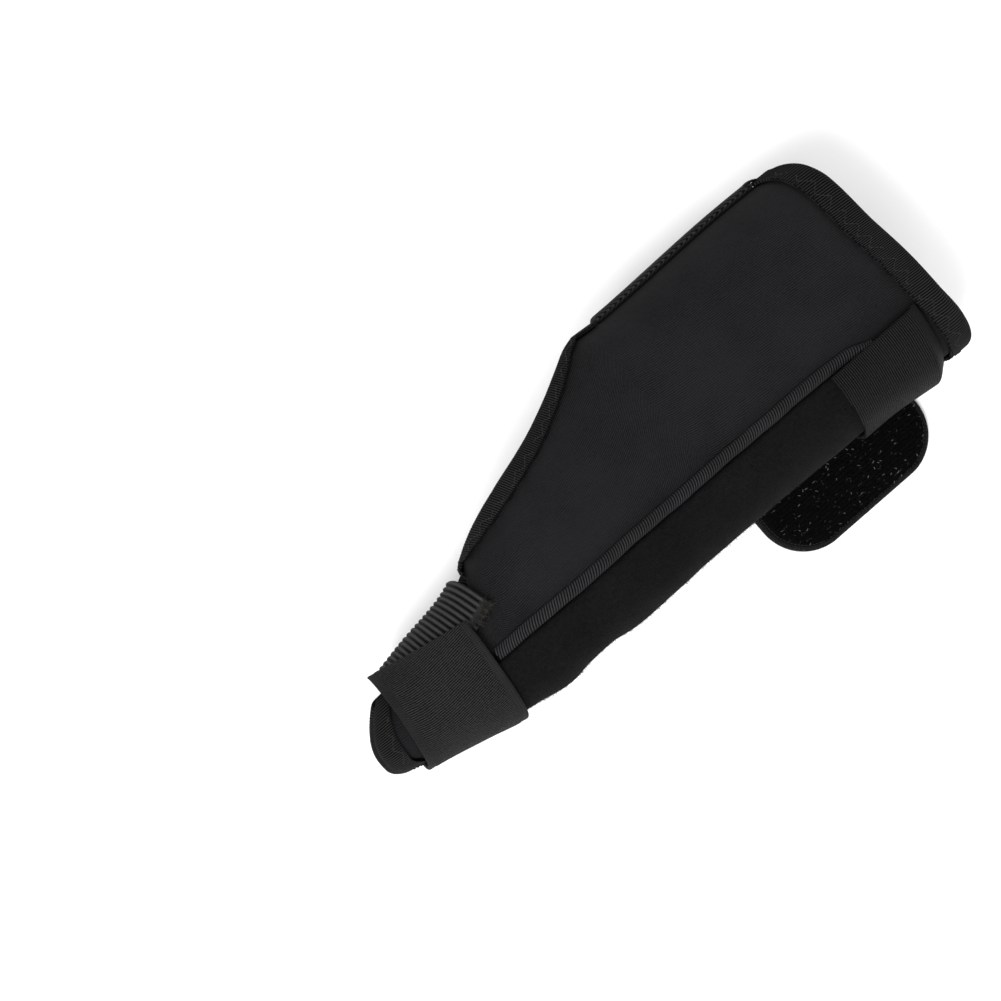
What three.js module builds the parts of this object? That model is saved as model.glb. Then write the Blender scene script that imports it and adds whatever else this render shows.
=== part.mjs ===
import * as THREE from "three";

// A thumb spica splint with the form it has when worn on a left hand, lying on the back of the
// wrist with the palm side up. A neoprene sleeve wraps the wrist and the ball of the thumb and is
// open towards the fingers. Tape binds its edges, a ribbed elastic closes it round the web of the
// thumb, a padded pocket for the stay runs down the thumb side, one strap holds the thumb and a
// wide one wraps the wrist and ends in a loose round tab with its hooks up.
// Millimetres. +X runs from the forearm to the thumb tip, +Y to the thumb side, +Z to the palm.

// Sleeve
const sleeveLength = 147.6; // forearm edge to the web of the thumb
const thumbLength = 48.5; // web to the end of the thumb
const wristWidth = 68.5;
const wristDepth = 45;
const thumbWidth = 23;
const thumbDepth = 24;
const thumbAside = 14.4; // thumb's axis to the thumb side of the wrist's axis
const thumbDrop = 4.8; // thumb's axis below the wrist's axis
const neopreneWall = 3;
const thumbEndSlant = 9; // how much shorter the thumb end is beside the web
const thumbEndDip = 4; // and on the thumb's outer side

// Sewn-on pieces
const seamGap = 0.42; // left between two pieces that are sewn together
const tapeWall = 0.8;
const tapeGap = 0.55; // between the sleeve's wall and the tape folded over it
const forearmTapeWidth = 6;
const palmTapeWidth = 3.2;
const thumbTapeWidth = 3.4;
const elasticWall = 1.2;
const ribHeight = 0.5;
const ribPitch = 1.8;
const elasticReach = 6.6; // palm-side edge of the elastic, thumbwards of the wrist's axis
const elasticSpread = 0.33; // its drift to the thumb side along the splint
const elasticStart = 3.4; // past the web at the web itself
const elasticSlant = 2.5; // how far the elastic's edge runs back from there
const elasticEnd = 6; // elastic stops this far short of the thumb strap's end
const pipingWidth = 3.3;
const pipingHeight = 2.4;
const pocketEdgeWall = 1.6;
const pocketMiddleWall = 3;
const pipingStart = 22; // from the forearm edge, under the woven tab
const pocketStart = 12; // from the forearm edge
const pocketEnd = 24; // past the web, under the thumb strap
const pocketBackEdge = 7; // from the thumb side in towards the back
const pocketRows = 18;
const pocketColumns = 12;

// Straps
const strapWall = 2;
const strapWidth = 59;
const strapStart = 15.4; // from the forearm edge
const strapOverlap = 2.6; // strap sewn over the sleeve's palm-side edge
const strapSkew = 2.6; // loose end lies this much nearer the forearm edge than the sewn end
const tabReach = 20.2; // past the pocket
const tabCorner = 15;
const hookWall = 0.8;
const hookInset = 1.2;
const hookLength = 27;
const closureLength = 32.1; // woven tab that closes the pocket
const closureSkew = 2.8; // how much shorter its outer side is
const closureWall = 1.2;
const closureAside = 18.9; // its palm-side edge from the wrist's axis
const thumbStrapWidth = 30.7;
const thumbStrapInset = 7.8; // from the thumb's end
const thumbStrapStart = thumbLength - thumbStrapInset - thumbStrapWidth;
const thumbStrapWall = 1.5;
const thumbStrapSkew = 1.6; // thumb side of the strap sits this much nearer the tip
const thumbStrapSeam = 6.8; // its sewn end from the wrist's axis at the strap's near edge
const thumbStrapLean = 3.2; // how much nearer the web the seam is at the far edge
const thumbStrapTail = 11; // its fastened end on the back, from the wrist's axis

// Form of the sleeve
const palmRoundness = 2.35; // exponents of the section's upper and lower halves
const backRoundness = 3;
const seamAngle = THREE.MathUtils.degToRad(175); // widest reach of the sleeve's palm-side edge
const sleeveRows = 32;
const sleeveColumns = 23;
const restLag = 1; // the sleeve starts to sink this far beyond the strap
const restBlend = 12; // and lies on the ground this far beyond it
const pocketPress = 6; // the pocket starts to thin this far before the sleeve's end
const pocketPressed = 2; // and is thin this far before the thumb strap

const wristHeight = strapWall + seamGap + wristDepth / 2;
const thumbHeight = wristHeight - thumbDrop;
const strapEnd = strapStart + strapWidth;

// Reach of the hand's sections, as shares of half the wrist's width and depth.
const handSections = [
  { along: 0.0, little: 0.98, thumb: 1.1, palm: 0.985, back: 1.02 },
  { along: 0.2, little: 1.0, thumb: 1.02, palm: 1.0, back: 1.02 },
  { along: 0.494, little: 0.97, thumb: 1.0, palm: 1.0, back: 1.02 },
  { along: 0.644, little: 1.01, thumb: 1.0, palm: 1.03, back: 1.13 },
  { along: 0.814, little: 0.905, thumb: 1.005, palm: 1.06, back: 1.13 },
  { along: 0.876, little: 0.8, thumb: 0.97, palm: 0.99, back: 1.08 },
  { along: 0.938, little: 0.5, thumb: 0.985, palm: 0.85, back: 1.02 },
  { along: 0.976, little: 0.29, thumb: 1.01, palm: 0.745, back: 0.98 },
  { along: 1.0, little: 0.165, thumb: 1.02, palm: 0.68, back: 0.945 },
];
// Reach of the thumb's sections, as shares of half the thumb's width and depth.
const thumbSections = [
  { along: 0.21, little: 1.4, thumb: 1.7, palm: 1.42, back: 1.3 },
  { along: 0.5, little: 1.21, thumb: 1.39, palm: 1.21, back: 1.17 },
  { along: 0.8, little: 0.983, thumb: 1.12, palm: 1.04, back: 1.0 },
  { along: 1.01, little: 0.9, thumb: 1.0, palm: 0.96, back: 0.94 },
];
// Edges of the sleeve on the little-finger side, as shares of the wrist's width.
const handEdges = [
  { along: 0.0, palm: -0.53, back: -0.29 },
  { along: 0.5, palm: -0.52, back: -0.29 },
  { along: 0.55, palm: -0.495, back: -0.29 },
  { along: 0.587, palm: -0.475, back: -0.29 },
  { along: 0.638, palm: -0.42, back: -0.284 },
  { along: 0.695, palm: -0.358, back: -0.268 },
  { along: 0.757, palm: -0.298, back: -0.23 },
  { along: 0.812, palm: -0.257, back: -0.182 },
  { along: 0.871, palm: -0.218, back: -0.143 },
  { along: 0.921, palm: -0.183, back: -0.104 },
  { along: 0.964, palm: -0.142, back: -0.066 },
  { along: 1.0, palm: -0.085, back: -0.04 },
];
// The same edges past the web, as shares of the thumb's width from its axis.
const thumbEdges = [
  { along: 0.1, palm: -0.58, back: -0.58 },
  { along: 0.27, palm: -0.45, back: -0.45 },
  { along: 0.8, palm: -0.36, back: -0.36 },
  { along: 1.0, palm: -0.34, back: -0.34 },
];

// Course of the palm-side piping, as shares of half the wrist's width from its axis.
const pipingCourse = [
  { along: 0.13, aside: 0.6 },
  { along: 0.22, aside: 0.525 },
  { along: 0.36, aside: 0.506 },
  { along: 0.7, aside: 0.506 },
  { along: 0.85, aside: 0.514 },
  { along: 1.06, aside: 0.524 },
];

// The sleeve's forearm edge, from its palm-side corner at share 0 round to its back corner, as
// distances along the splint in shares of the wrist's width.
const forearmEdges = [
  { share: 0.0, along: 0.16 },
  { share: 0.03, along: 0.096 },
  { share: 0.06, along: 0.06 },
  { share: 0.1, along: 0.042 },
  { share: 0.19, along: 0.038 },
  { share: 0.3, along: 0.016 },
  { share: 0.41, along: -0.004 },
  { share: 0.47, along: -0.025 },
  { share: 0.57, along: -0.039 },
  { share: 0.75, along: -0.022 },
  { share: 1.0, along: 0.0 },
];

// A smooth curve through table rows { x, y } that never overshoots them.
function curveThrough(points) {
  const slope = points
    .slice(1)
    .map((p, i) => (p.y - points[i].y) / (p.x - points[i].x));
  const tangent = points.map((p, i) => {
    if (i === 0 || i === points.length - 1) return slope[Math.max(0, i - 1)];
    const [before, after] = [slope[i - 1], slope[i]];
    return before * after <= 0 ? 0 : (2 * before * after) / (before + after);
  });
  return (x) => {
    const last = points.length - 1;
    if (x <= points[0].x) return points[0].y;
    if (x >= points[last].x) return points[last].y;
    const i = points.findIndex((p) => p.x >= x) - 1;
    const width = points[i + 1].x - points[i].x;
    const t = (x - points[i].x) / width;
    const [t2, t3] = [t * t, t * t * t];
    return (
      points[i].y * (2 * t3 - 3 * t2 + 1) +
      tangent[i] * width * (t3 - 2 * t2 + t) +
      points[i + 1].y * (3 * t2 - 2 * t3) +
      tangent[i + 1] * width * (t3 - t2)
    );
  };
}

const handStation = (row) => row.along * sleeveLength;
const thumbStation = (row) => sleeveLength + row.along * thumbLength;

function reachCurve(side, handAxis, handHalf, thumbAxis, thumbHalf, sign) {
  return curveThrough([
    ...handSections.map((row) => ({
      x: handStation(row),
      y: handAxis + sign * row[side] * handHalf,
    })),
    ...thumbSections.map((row) => ({
      x: thumbStation(row),
      y: thumbAxis + sign * row[side] * thumbHalf,
    })),
  ]);
}
const littleReach = reachCurve(
  "little",
  0,
  wristWidth / 2,
  thumbAside,
  thumbWidth / 2,
  -1,
);
const thumbReach = reachCurve(
  "thumb",
  0,
  wristWidth / 2,
  thumbAside,
  thumbWidth / 2,
  1,
);
const palmReach = reachCurve(
  "palm",
  wristHeight,
  wristDepth / 2,
  thumbHeight,
  thumbDepth / 2,
  1,
);
const backReach = reachCurve(
  "back",
  wristHeight,
  wristDepth / 2,
  thumbHeight,
  thumbDepth / 2,
  -1,
);

function edgeCurve(side) {
  return curveThrough([
    ...handEdges.map((row) => ({
      x: handStation(row),
      y: row[side] * wristWidth,
    })),
    ...thumbEdges.map((row) => ({
      x: thumbStation(row),
      y: thumbAside + row[side] * thumbWidth,
    })),
  ]);
}
const palmEdge = edgeCurve("palm");
const backEdge = edgeCurve("back");

// The sleeve's lowest height: over the strap's wall, then over the tape of its back edge.
function restLevel(x) {
  return THREE.MathUtils.lerp(
    strapWall + seamGap,
    tapeWall + tapeGap,
    THREE.MathUtils.smoothstep(x, strapEnd + restLag, strapEnd + restBlend),
  );
}

// The oval at a station, as its middle and half sizes.
function ovalAt(x) {
  const [left, right] = [littleReach(x), thumbReach(x)];
  const [top, bottom] = [palmReach(x), backReach(x)];
  return {
    y: (left + right) / 2,
    z: (top + bottom) / 2,
    width: (right - left) / 2,
    depth: (top - bottom) / 2,
  };
}

// Point on the outside of the sleeve's form. Angle 0 is the thumb side and 90 degrees the palm.
function formPoint(x, angle) {
  const oval = ovalAt(x);
  const [c, s] = [Math.cos(angle), Math.sin(angle)];
  const power = s >= 0 ? palmRoundness : backRoundness;
  const radius =
    (Math.abs(c / oval.width) ** power + Math.abs(s / oval.depth) ** power) **
    (-1 / power);
  return new THREE.Vector3(
    x,
    oval.y + radius * c,
    Math.max(oval.z + radius * s, restLevel(x)),
  );
}

// Point at a height above the form, along its outward normal.
function over(x, angle, height) {
  const step = 0.2; // along the form
  const turn = 0.02; // round it
  const along = formPoint(x + step, angle).sub(formPoint(x - step, angle));
  const around = formPoint(x, angle + turn).sub(formPoint(x, angle - turn));
  const normal = around.cross(along).normalize();
  return formPoint(x, angle).addScaledVector(normal, height);
}

// Angle at which the form's palm half (or back half) stands at a distance across.
function angleAcross(x, across, half = 1) {
  const oval = ovalAt(x);
  const share = THREE.MathUtils.clamp((across - oval.y) / oval.width, -1, 1);
  const power = half > 0 ? palmRoundness : backRoundness;
  const rise = oval.depth * (1 - Math.abs(share) ** power) ** (1 / power);
  return half * Math.atan2(rise, share * oval.width);
}

// Angle reached by going a distance round the section.
function angleAfter(x, angle, distance) {
  const steps = 4;
  let turned = angle;
  for (let i = 0; i < steps; i++) {
    const speed = formPoint(x, turned + 0.01).distanceTo(
      formPoint(x, turned - 0.01),
    );
    turned += (distance / steps / speed) * 0.02;
  }
  return turned;
}

// The sleeve reaches from its palm-side edge over the thumb side to its back edge, share 0 to 1.
const palmEdgeAngle = (x) => Math.min(angleAcross(x, palmEdge(x)), seamAngle);
const backEdgeAngle = (x) => angleAcross(x, backEdge(x), -1);
const sleeveAngle = (x, share) =>
  THREE.MathUtils.lerp(palmEdgeAngle(x), backEdgeAngle(x), share);
const onSleeve = (x, share, height) => over(x, sleeveAngle(x, share), height);

const forearmEdge = curveThrough(
  forearmEdges.map((row) => ({ x: row.share, y: row.along * wristWidth })),
);
const slantShare = 0.27;
const dipShare = 0.17;
function thumbEdge(share) {
  const side = Math.min(share, 1 - share);
  const slant = thumbEndSlant * Math.max(0, 1 - side / slantShare) ** 2;
  const dip =
    thumbEndDip * THREE.MathUtils.smoothstep(side, 0.5 - dipShare, 0.5);
  return sleeveLength + thumbLength - slant - dip;
}

// A closed wall between an outer and an inner sheet of rows by columns of points.
function wall(rows, columns, at, ring = false) {
  const positions = [];
  const across = ring ? columns : columns + 1;
  for (const outer of [true, false])
    for (let i = 0; i <= rows; i++)
      for (let j = 0; j < across; j++)
        positions.push(...at(i / rows, j / columns, outer).toArray());
  const sheet = (rows + 1) * across;
  const index = [];
  const vertex = (i, j, outer) => (outer ? 0 : sheet) + i * across + (j % across);
  const quad = (a, b, c, d) => index.push(a, b, c, a, c, d);
  for (let i = 0; i < rows; i++)
    for (let j = 0; j < columns; j++)
      for (const outer of [true, false]) {
        const corners = [
          vertex(i, j, outer),
          vertex(i + 1, j, outer),
          vertex(i + 1, j + 1, outer),
          vertex(i, j + 1, outer),
        ];
        quad(...(outer ? corners : corners.reverse()));
      }
  for (let j = 0; j < columns; j++) {
    quad(
      vertex(0, j, true),
      vertex(0, j + 1, true),
      vertex(0, j + 1, false),
      vertex(0, j, false),
    );
    quad(
      vertex(rows, j + 1, true),
      vertex(rows, j, true),
      vertex(rows, j, false),
      vertex(rows, j + 1, false),
    );
  }
  if (!ring)
    for (let i = 0; i < rows; i++) {
      quad(
        vertex(i + 1, 0, true),
        vertex(i, 0, true),
        vertex(i, 0, false),
        vertex(i + 1, 0, false),
      );
      quad(
        vertex(i, columns, true),
        vertex(i + 1, columns, true),
        vertex(i + 1, columns, false),
        vertex(i, columns, false),
      );
    }
  const geometry = new THREE.BufferGeometry();
  geometry.setAttribute(
    "position",
    new THREE.Float32BufferAttribute(positions, 3),
  );
  geometry.setIndex(enclosed(positions, index) < 0 ? index.reverse() : index);
  return geometry;
}

function enclosed(positions, index) {
  const corner = (k) => new THREE.Vector3().fromArray(positions, index[k] * 3);
  let volume = 0;
  for (let k = 0; k < index.length; k += 3)
    volume += corner(k).dot(corner(k + 1).cross(corner(k + 2))) / 6;
  return volume;
}

const splint = new THREE.Group();
function add(name, geometry, color, roughness) {
  const material = new THREE.MeshStandardMaterial({
    color,
    roughness,
    metalness: 0,
  });
  const mesh = new THREE.Mesh(geometry, material);
  mesh.name = name;
  splint.add(mesh);
}

// Neoprene sleeve: one sheet wrapped round the form, its rows closer together along the palm.
const rowSpread = curveThrough([
  { x: 0, y: 0 },
  { x: 0.2, y: 0.38 },
  { x: 0.86, y: 0.82 },
  { x: 1, y: 1 },
]);
const sleeveStation = (share, row) =>
  THREE.MathUtils.lerp(forearmEdge(share), thumbEdge(share), rowSpread(row));
add(
  "neoprene_sleeve",
  wall(sleeveRows, sleeveColumns, (row, share, outer) =>
    onSleeve(sleeveStation(share, row), share, outer ? 0 : -neopreneWall),
  ),
  0x1f1e20,
  0.8,
);

// Tape folded over an edge. Its path goes in along the outside, round the edge and back along
// the inside: s is the distance in from the edge and n the height over the sleeve.
function tapeFold(share, width, outer) {
  const flat = 0.3; // share of the path on each face
  const radius = neopreneWall / 2 + tapeGap + (outer ? tapeWall : 0);
  if (share < flat) {
    return { s: width * (1 - share / flat), n: radius - neopreneWall / 2 };
  }
  if (share > 1 - flat) {
    return {
      s: width * (1 - (1 - share) / flat),
      n: -radius - neopreneWall / 2,
    };
  }
  const turn = (Math.PI * (share - flat)) / (1 - 2 * flat);
  return {
    s: -radius * Math.sin(turn),
    n: radius * Math.cos(turn) - neopreneWall / 2,
  };
}
const foldColumns = 8;
// The sleeve's own columns, stopping a little short of its corners.
const boundShare = (row) =>
  THREE.MathUtils.clamp(
    Math.round(row * sleeveColumns) / sleeveColumns,
    0.012,
    0.988,
  );

add(
  "forearm_binding",
  wall(sleeveColumns, foldColumns, (row, column, outer) => {
    const { s, n } = tapeFold(column, forearmTapeWidth, outer);
    // The tape's end reaches a little past the sleeve's palm-side corner.
    const share = boundShare(row);
    const place = row === 0 ? -share : share;
    return onSleeve(forearmEdge(share) + s, place, n);
  }),
  0x1c1b1c,
  0.85,
);

const bindingStart = strapEnd + seamGap;
const bindingEnd = sleeveLength + 1.4;
// Its rows are those of the sleeve, so that both bend at the same places.
function edgeBinding(edgeAngle, inward, share) {
  const stations = Array.from({ length: sleeveRows + 1 }, (_, i) =>
    sleeveStation(share, i / sleeveRows),
  );
  const first = stations.findIndex((x) => x > bindingStart) - 1;
  const last = stations.findIndex((x) => x > bindingEnd);
  return wall(last - first, foldColumns, (row, column, outer) => {
    const { s, n } = tapeFold(column, palmTapeWidth, outer);
    const x = THREE.MathUtils.clamp(
      stations[first + Math.round(row * (last - first))],
      bindingStart,
      bindingEnd,
    );
    return over(x, angleAfter(x, edgeAngle(x), inward * s), n);
  });
}
add(
  "palm_binding",
  edgeBinding(palmEdgeAngle, -1, 0),
  0x1c1b1a,
  0.85,
);
add(
  "back_binding",
  edgeBinding(backEdgeAngle, 1, 1),
  0x1c1b1a,
  0.85,
);

add(
  "thumb_end_binding",
  wall(sleeveColumns, foldColumns, (row, column, outer) => {
    const { s, n } = tapeFold(column, thumbTapeWidth, outer);
    const share = boundShare(row);
    return onSleeve(thumbEdge(share) - s, share, n);
  }),
  0x1b1b1c,
  0.85,
);

// Ribbed elastic: closes the sleeve round the web side of the thumb, its ribs running round it.
const thumbStrapEdge = sleeveLength + thumbStrapStart + thumbStrapWidth;
const elasticStop = thumbStrapEdge - elasticEnd;
const ribs = Math.round(
  (elasticStop - sleeveLength - elasticStart + elasticSlant) / ribPitch,
);
add(
  "thumb_elastic",
  wall(ribs * 2, 9, (row, column, outer) => {
    const side = Math.abs(column - 0.5) * 2;
    const start = sleeveLength + elasticStart - elasticSlant * side ** 2;
    const x = THREE.MathUtils.lerp(start, elasticStop, row);
    const drift = elasticSpread * Math.min(x - sleeveLength, thumbStrapStart);
    const angle = THREE.MathUtils.lerp(
      angleAcross(x, elasticReach + drift),
      2 * Math.PI + angleAcross(x, elasticReach + drift, -1),
      column,
    );
    const rib = Math.round(row * ribs * 2) % 2 ? ribHeight : 0;
    return over(x, angle, seamGap * 1.4 + (outer ? elasticWall + rib : 0));
  }),
  0x2a2928,
  0.8,
);

// Stay pocket: a padded patch of loop cloth down the thumb side, thinner under the thumb strap.
const pipingAside = curveThrough(
  pipingCourse.map((row) => ({
    x: handStation(row),
    y: (row.aside * wristWidth) / 2,
  })),
);
const pipingLine = (x) => angleAcross(x, pipingAside(x));
const pocketFrom = (x) =>
  angleAfter(x, pipingLine(x), -(pipingWidth / 2 + seamGap));
const pocketTo = (x) => angleAcross(x, thumbReach(x) - pocketBackEdge, -1);
const pocketStop = sleeveLength + pocketEnd;
const closureStart = forearmTapeWidth + seamGap;
function pocketWall(x, share) {
  const crown =
    (pocketMiddleWall - pocketEdgeWall) * Math.sin(Math.PI * share) ** 0.6;
  const pressed = THREE.MathUtils.smoothstep(
    x,
    sleeveLength - pocketPress,
    sleeveLength + thumbStrapStart - pocketPressed,
  );
  return pocketEdgeWall + crown * (1 - pressed);
}
add(
  "stay_pocket",
  wall(pocketRows, pocketColumns, (row, column, outer) => {
    const x = THREE.MathUtils.lerp(pocketStart, pocketStop, row);
    const angle = THREE.MathUtils.lerp(pocketFrom(x), pocketTo(x), column);
    return over(x, angle, seamGap + (outer ? pocketWall(x, column) : 0));
  }),
  0x151516,
  0.95,
);

// Piping: a round ribbed edge on each long side of the pocket, its end under the woven tab.
const pipingStop = sleeveLength + thumbStrapStart - 0.8;
function piping(lineAngle) {
  return wall(pocketRows, 4, (row, column, outer) => {
    const x = THREE.MathUtils.lerp(pipingStart, pipingStop, row);
    const angle = angleAfter(x, lineAngle(x), (column - 0.5) * pipingWidth);
    const crown = pipingHeight * Math.sin(Math.PI * (0.15 + 0.7 * column));
    return over(x, angle, seamGap + (outer ? crown : 0));
  });
}
add(
  "pocket_piping_palm",
  piping(pipingLine),
  0x252427,
  0.75,
);
add(
  "pocket_piping_back",
  piping((x) => angleAfter(x, pocketTo(x), -(pipingWidth / 2 + seamGap))),
  0x252427,
  0.75,
);

// Woven tab: lies over the pocket's forearm end and closes it.
add(
  "pocket_tab",
  wall(8, 12, (row, column, outer) => {
    const x = closureStart + row * (closureLength - closureSkew * column);
    const angle = THREE.MathUtils.lerp(
      angleAcross(x, closureAside),
      angleAfter(x, pocketTo(x), pipingWidth),
      column,
    );
    const climb = THREE.MathUtils.smoothstep(
      x,
      closureStart - 1,
      pocketStart - 1.5,
    );
    const under = THREE.MathUtils.lerp(
      pipingHeight,
      pocketMiddleWall,
      THREE.MathUtils.smoothstep(column, 0, 0.2),
    );
    const lift = (under + seamGap * 1.5) * climb;
    return over(x, angle, seamGap + lift + (outer ? closureWall : 0));
  }),
  0x262626,
  0.6,
);

// Thumb strap: sewn over the elastic on the palm side, wrapped over the end of the pocket and
// round the outside of the thumb to the back.
const strapLift = elasticWall + ribHeight + 2.2 * seamGap;
add(
  "thumb_strap",
  wall(6, 20, (row, column, outer) => {
    const near = sleeveLength + thumbStrapStart + thumbStrapWidth * row;
    const from = angleAcross(near, thumbStrapSeam - thumbStrapLean * row);
    const to = angleAcross(near, thumbStrapTail, -1);
    const angle = THREE.MathUtils.lerp(from, to, column);
    const x = near + thumbStrapSkew * Math.cos(angle);
    return over(x, angle, strapLift + (outer ? thumbStrapWall : 0));
  }),
  0x2c2c2e,
  0.9,
);

// Wrist strap: sewn over the sleeve's palm-side edge, wrapped round the little-finger side and
// under the back, then loose on the ground beyond the thumb side.
const tabEnd =
  wristWidth / 2 + seamGap + pocketMiddleWall + tabReach;
const strapMiddle = (strapStart + strapEnd) / 2;
const looseMiddle = strapMiddle - strapSkew;
// Half the strap's width at a distance from its round end.
function halfWidthAt(fromEnd, half, corner) {
  const into = Math.max(0, corner - fromEnd);
  return half - corner + Math.sqrt(corner ** 2 - into ** 2);
}
const wrapColumns = 18;
const tailColumns = 14;
add(
  "wrist_strap",
  wall(6, wrapColumns + tailColumns, (row, column, outer) => {
    const along = column * (wrapColumns + tailColumns);
    const height = outer ? seamGap + strapWall : seamGap;
    const across = (row - 0.5) * 2;
    if (along <= wrapColumns) {
      const skew = (strapSkew * along) / wrapColumns;
      const x = strapMiddle + (across * strapWidth) / 2 - skew;
      const start = angleAfter(x, palmEdgeAngle(x), -strapOverlap);
      const angle = THREE.MathUtils.lerp(
        start,
        (3 * Math.PI) / 2,
        along / wrapColumns,
      );
      return over(x, angle, height);
    }
    // Columns crowd towards the round end, as the angles of its corners do.
    const middle = formPoint(looseMiddle, (3 * Math.PI) / 2).y;
    const turn = ((along - wrapColumns) / tailColumns) * (Math.PI / 2);
    const fromEnd = (tabEnd - middle) * (1 - Math.sin(turn));
    const half = halfWidthAt(fromEnd, strapWidth / 2, tabCorner);
    return new THREE.Vector3(
      looseMiddle + across * half,
      tabEnd - fromEnd,
      outer ? 0 : strapWall,
    );
  }),
  0x222223,
  0.85,
);

// Hook patch: sewn to the upper face of the strap's loose end.
add(
  "hook_patch",
  wall(4, 12, (row, column, outer) => {
    const fromEnd = hookLength * (1 - Math.sin((column * Math.PI) / 2));
    const half = halfWidthAt(
      fromEnd,
      strapWidth / 2 - hookInset,
      tabCorner - hookInset,
    );
    return new THREE.Vector3(
      looseMiddle + (row - 0.5) * 2 * half,
      tabEnd - hookInset - fromEnd,
      strapWall + seamGap + (outer ? hookWall : 0),
    );
  }),
  0x101010,
  0.4,
);

// The origin is on the ground under the middle of the splint.
const middle = new THREE.Box3().setFromObject(splint).getCenter(new THREE.Vector3());
splint.position.set(-middle.x, -middle.y, 0);

export default splint;
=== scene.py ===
import math

import bpy
import numpy as np
from mathutils import Matrix, Vector


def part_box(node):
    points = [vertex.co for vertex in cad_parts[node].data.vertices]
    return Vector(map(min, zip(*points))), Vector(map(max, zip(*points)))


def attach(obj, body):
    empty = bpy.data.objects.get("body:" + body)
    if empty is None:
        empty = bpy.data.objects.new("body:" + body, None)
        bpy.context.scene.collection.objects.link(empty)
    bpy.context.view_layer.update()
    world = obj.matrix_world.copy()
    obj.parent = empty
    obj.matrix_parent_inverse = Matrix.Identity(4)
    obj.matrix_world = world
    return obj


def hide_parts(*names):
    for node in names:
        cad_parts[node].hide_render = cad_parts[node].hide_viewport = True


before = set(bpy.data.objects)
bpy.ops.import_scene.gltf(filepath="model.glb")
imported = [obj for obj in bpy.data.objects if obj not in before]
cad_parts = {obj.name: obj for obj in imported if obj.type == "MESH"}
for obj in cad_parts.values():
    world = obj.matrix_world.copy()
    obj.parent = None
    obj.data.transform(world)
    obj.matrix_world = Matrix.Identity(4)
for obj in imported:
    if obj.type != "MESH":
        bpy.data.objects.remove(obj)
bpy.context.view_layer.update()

# Neoprene sleeve. A 3 mm sheet of foam with smooth black jersey on both faces, cut as one
# panel, moulded round the wrist and the ball of the thumb and left open towards the fingers.
# Its form carries every other piece, so the splint's sizes are here, in millimetres.
SLEEVE_LENGTH = 147.6
THUMB_LENGTH = 48.5
WRIST_WIDTH = 68.5
WRIST_DEPTH = 45.0
THUMB_WIDTH = 23.0
THUMB_DEPTH = 24.0
THUMB_ASIDE = 14.4
THUMB_DROP = 4.8
NEOPRENE_WALL = 3.0
THUMB_END_SLANT = 9.0
THUMB_END_DIP = 4.0
SEAM_GAP = 0.42
THUMB_SLANT_REACH = 0.27
THUMB_DIP_REACH = 0.17
TAPE_WALL = 0.8
TAPE_GAP = 0.55
STRAP_WALL = 2.0
STRAP_WIDTH = 59.0
STRAP_START = 15.4
STRAP_SKEW = 2.6
PALM_ROUNDNESS = 2.35
BACK_ROUNDNESS = 3.0
SEAM_ANGLE = math.radians(175)
WRIST_HEIGHT = STRAP_WALL + SEAM_GAP + WRIST_DEPTH / 2
THUMB_HEIGHT = WRIST_HEIGHT - THUMB_DROP
STRAP_END = STRAP_START + STRAP_WIDTH
REST_LAG = 1.0
REST_BLEND = 12.0

# Along the hand as shares of its length; reach as shares of half the wrist's width and depth.
HAND_COLUMNS = ("along", "little", "thumb", "palm", "back")
HAND_SECTIONS = [
    (0.0, 0.98, 1.1, 0.985, 1.02), (0.2, 1.0, 1.02, 1.0, 1.02),
    (0.494, 0.97, 1.0, 1.0, 1.02), (0.644, 1.01, 1.0, 1.03, 1.13),
    (0.814, 0.905, 1.005, 1.06, 1.13), (0.876, 0.8, 0.97, 0.99, 1.08),
    (0.938, 0.5, 0.985, 0.85, 1.02), (0.976, 0.29, 1.01, 0.745, 0.98),
    (1.0, 0.165, 1.02, 0.68, 0.945),
]
THUMB_SECTIONS = [
    (0.21, 1.4, 1.7, 1.42, 1.3), (0.5, 1.21, 1.39, 1.21, 1.17),
    (0.8, 0.983, 1.12, 1.04, 1.0), (1.01, 0.9, 1.0, 0.96, 0.94),
]
# The sleeve's edges across the wrist's axis, then across the thumb's.
EDGE_COLUMNS = ("along", "palm", "back")
HAND_EDGES = [
    (0.0, -0.53, -0.29), (0.5, -0.52, -0.29), (0.55, -0.495, -0.29),
    (0.587, -0.475, -0.29), (0.638, -0.42, -0.284), (0.695, -0.358, -0.268),
    (0.757, -0.298, -0.23), (0.812, -0.257, -0.182), (0.871, -0.218, -0.143),
    (0.921, -0.183, -0.104), (0.964, -0.142, -0.066), (1.0, -0.085, -0.04),
]
THUMB_EDGES = [
    (0.1, -0.58, -0.58), (0.27, -0.45, -0.45), (0.8, -0.36, -0.36), (1.0, -0.34, -0.34),
]


def curve_through(points):
    """A smooth curve through (x, y) points that never overshoots them."""
    xs, ys = (np.array(values, float) for values in zip(*points))
    slope = np.diff(ys) / np.diff(xs)
    tangent = np.concatenate([slope[:1], np.zeros(len(xs) - 2), slope[-1:]])
    before, after = slope[:-1], slope[1:]
    total = before + after
    turning = before * after <= 0
    tangent[1:-1] = np.where(turning, 0, 2 * before * after / np.where(turning, 1, total))

    def at(x):
        x = np.clip(x, xs[0], xs[-1])
        i = np.clip(np.searchsorted(xs, x, side="left") - 1, 0, len(xs) - 2)
        width = xs[i + 1] - xs[i]
        t = (x - xs[i]) / width
        return (
            ys[i] * (2 * t**3 - 3 * t**2 + 1)
            + tangent[i] * width * (t**3 - 2 * t**2 + t)
            + ys[i + 1] * (3 * t**2 - 2 * t**3)
            + tangent[i + 1] * width * (t**3 - t**2)
        )

    return at


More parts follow.
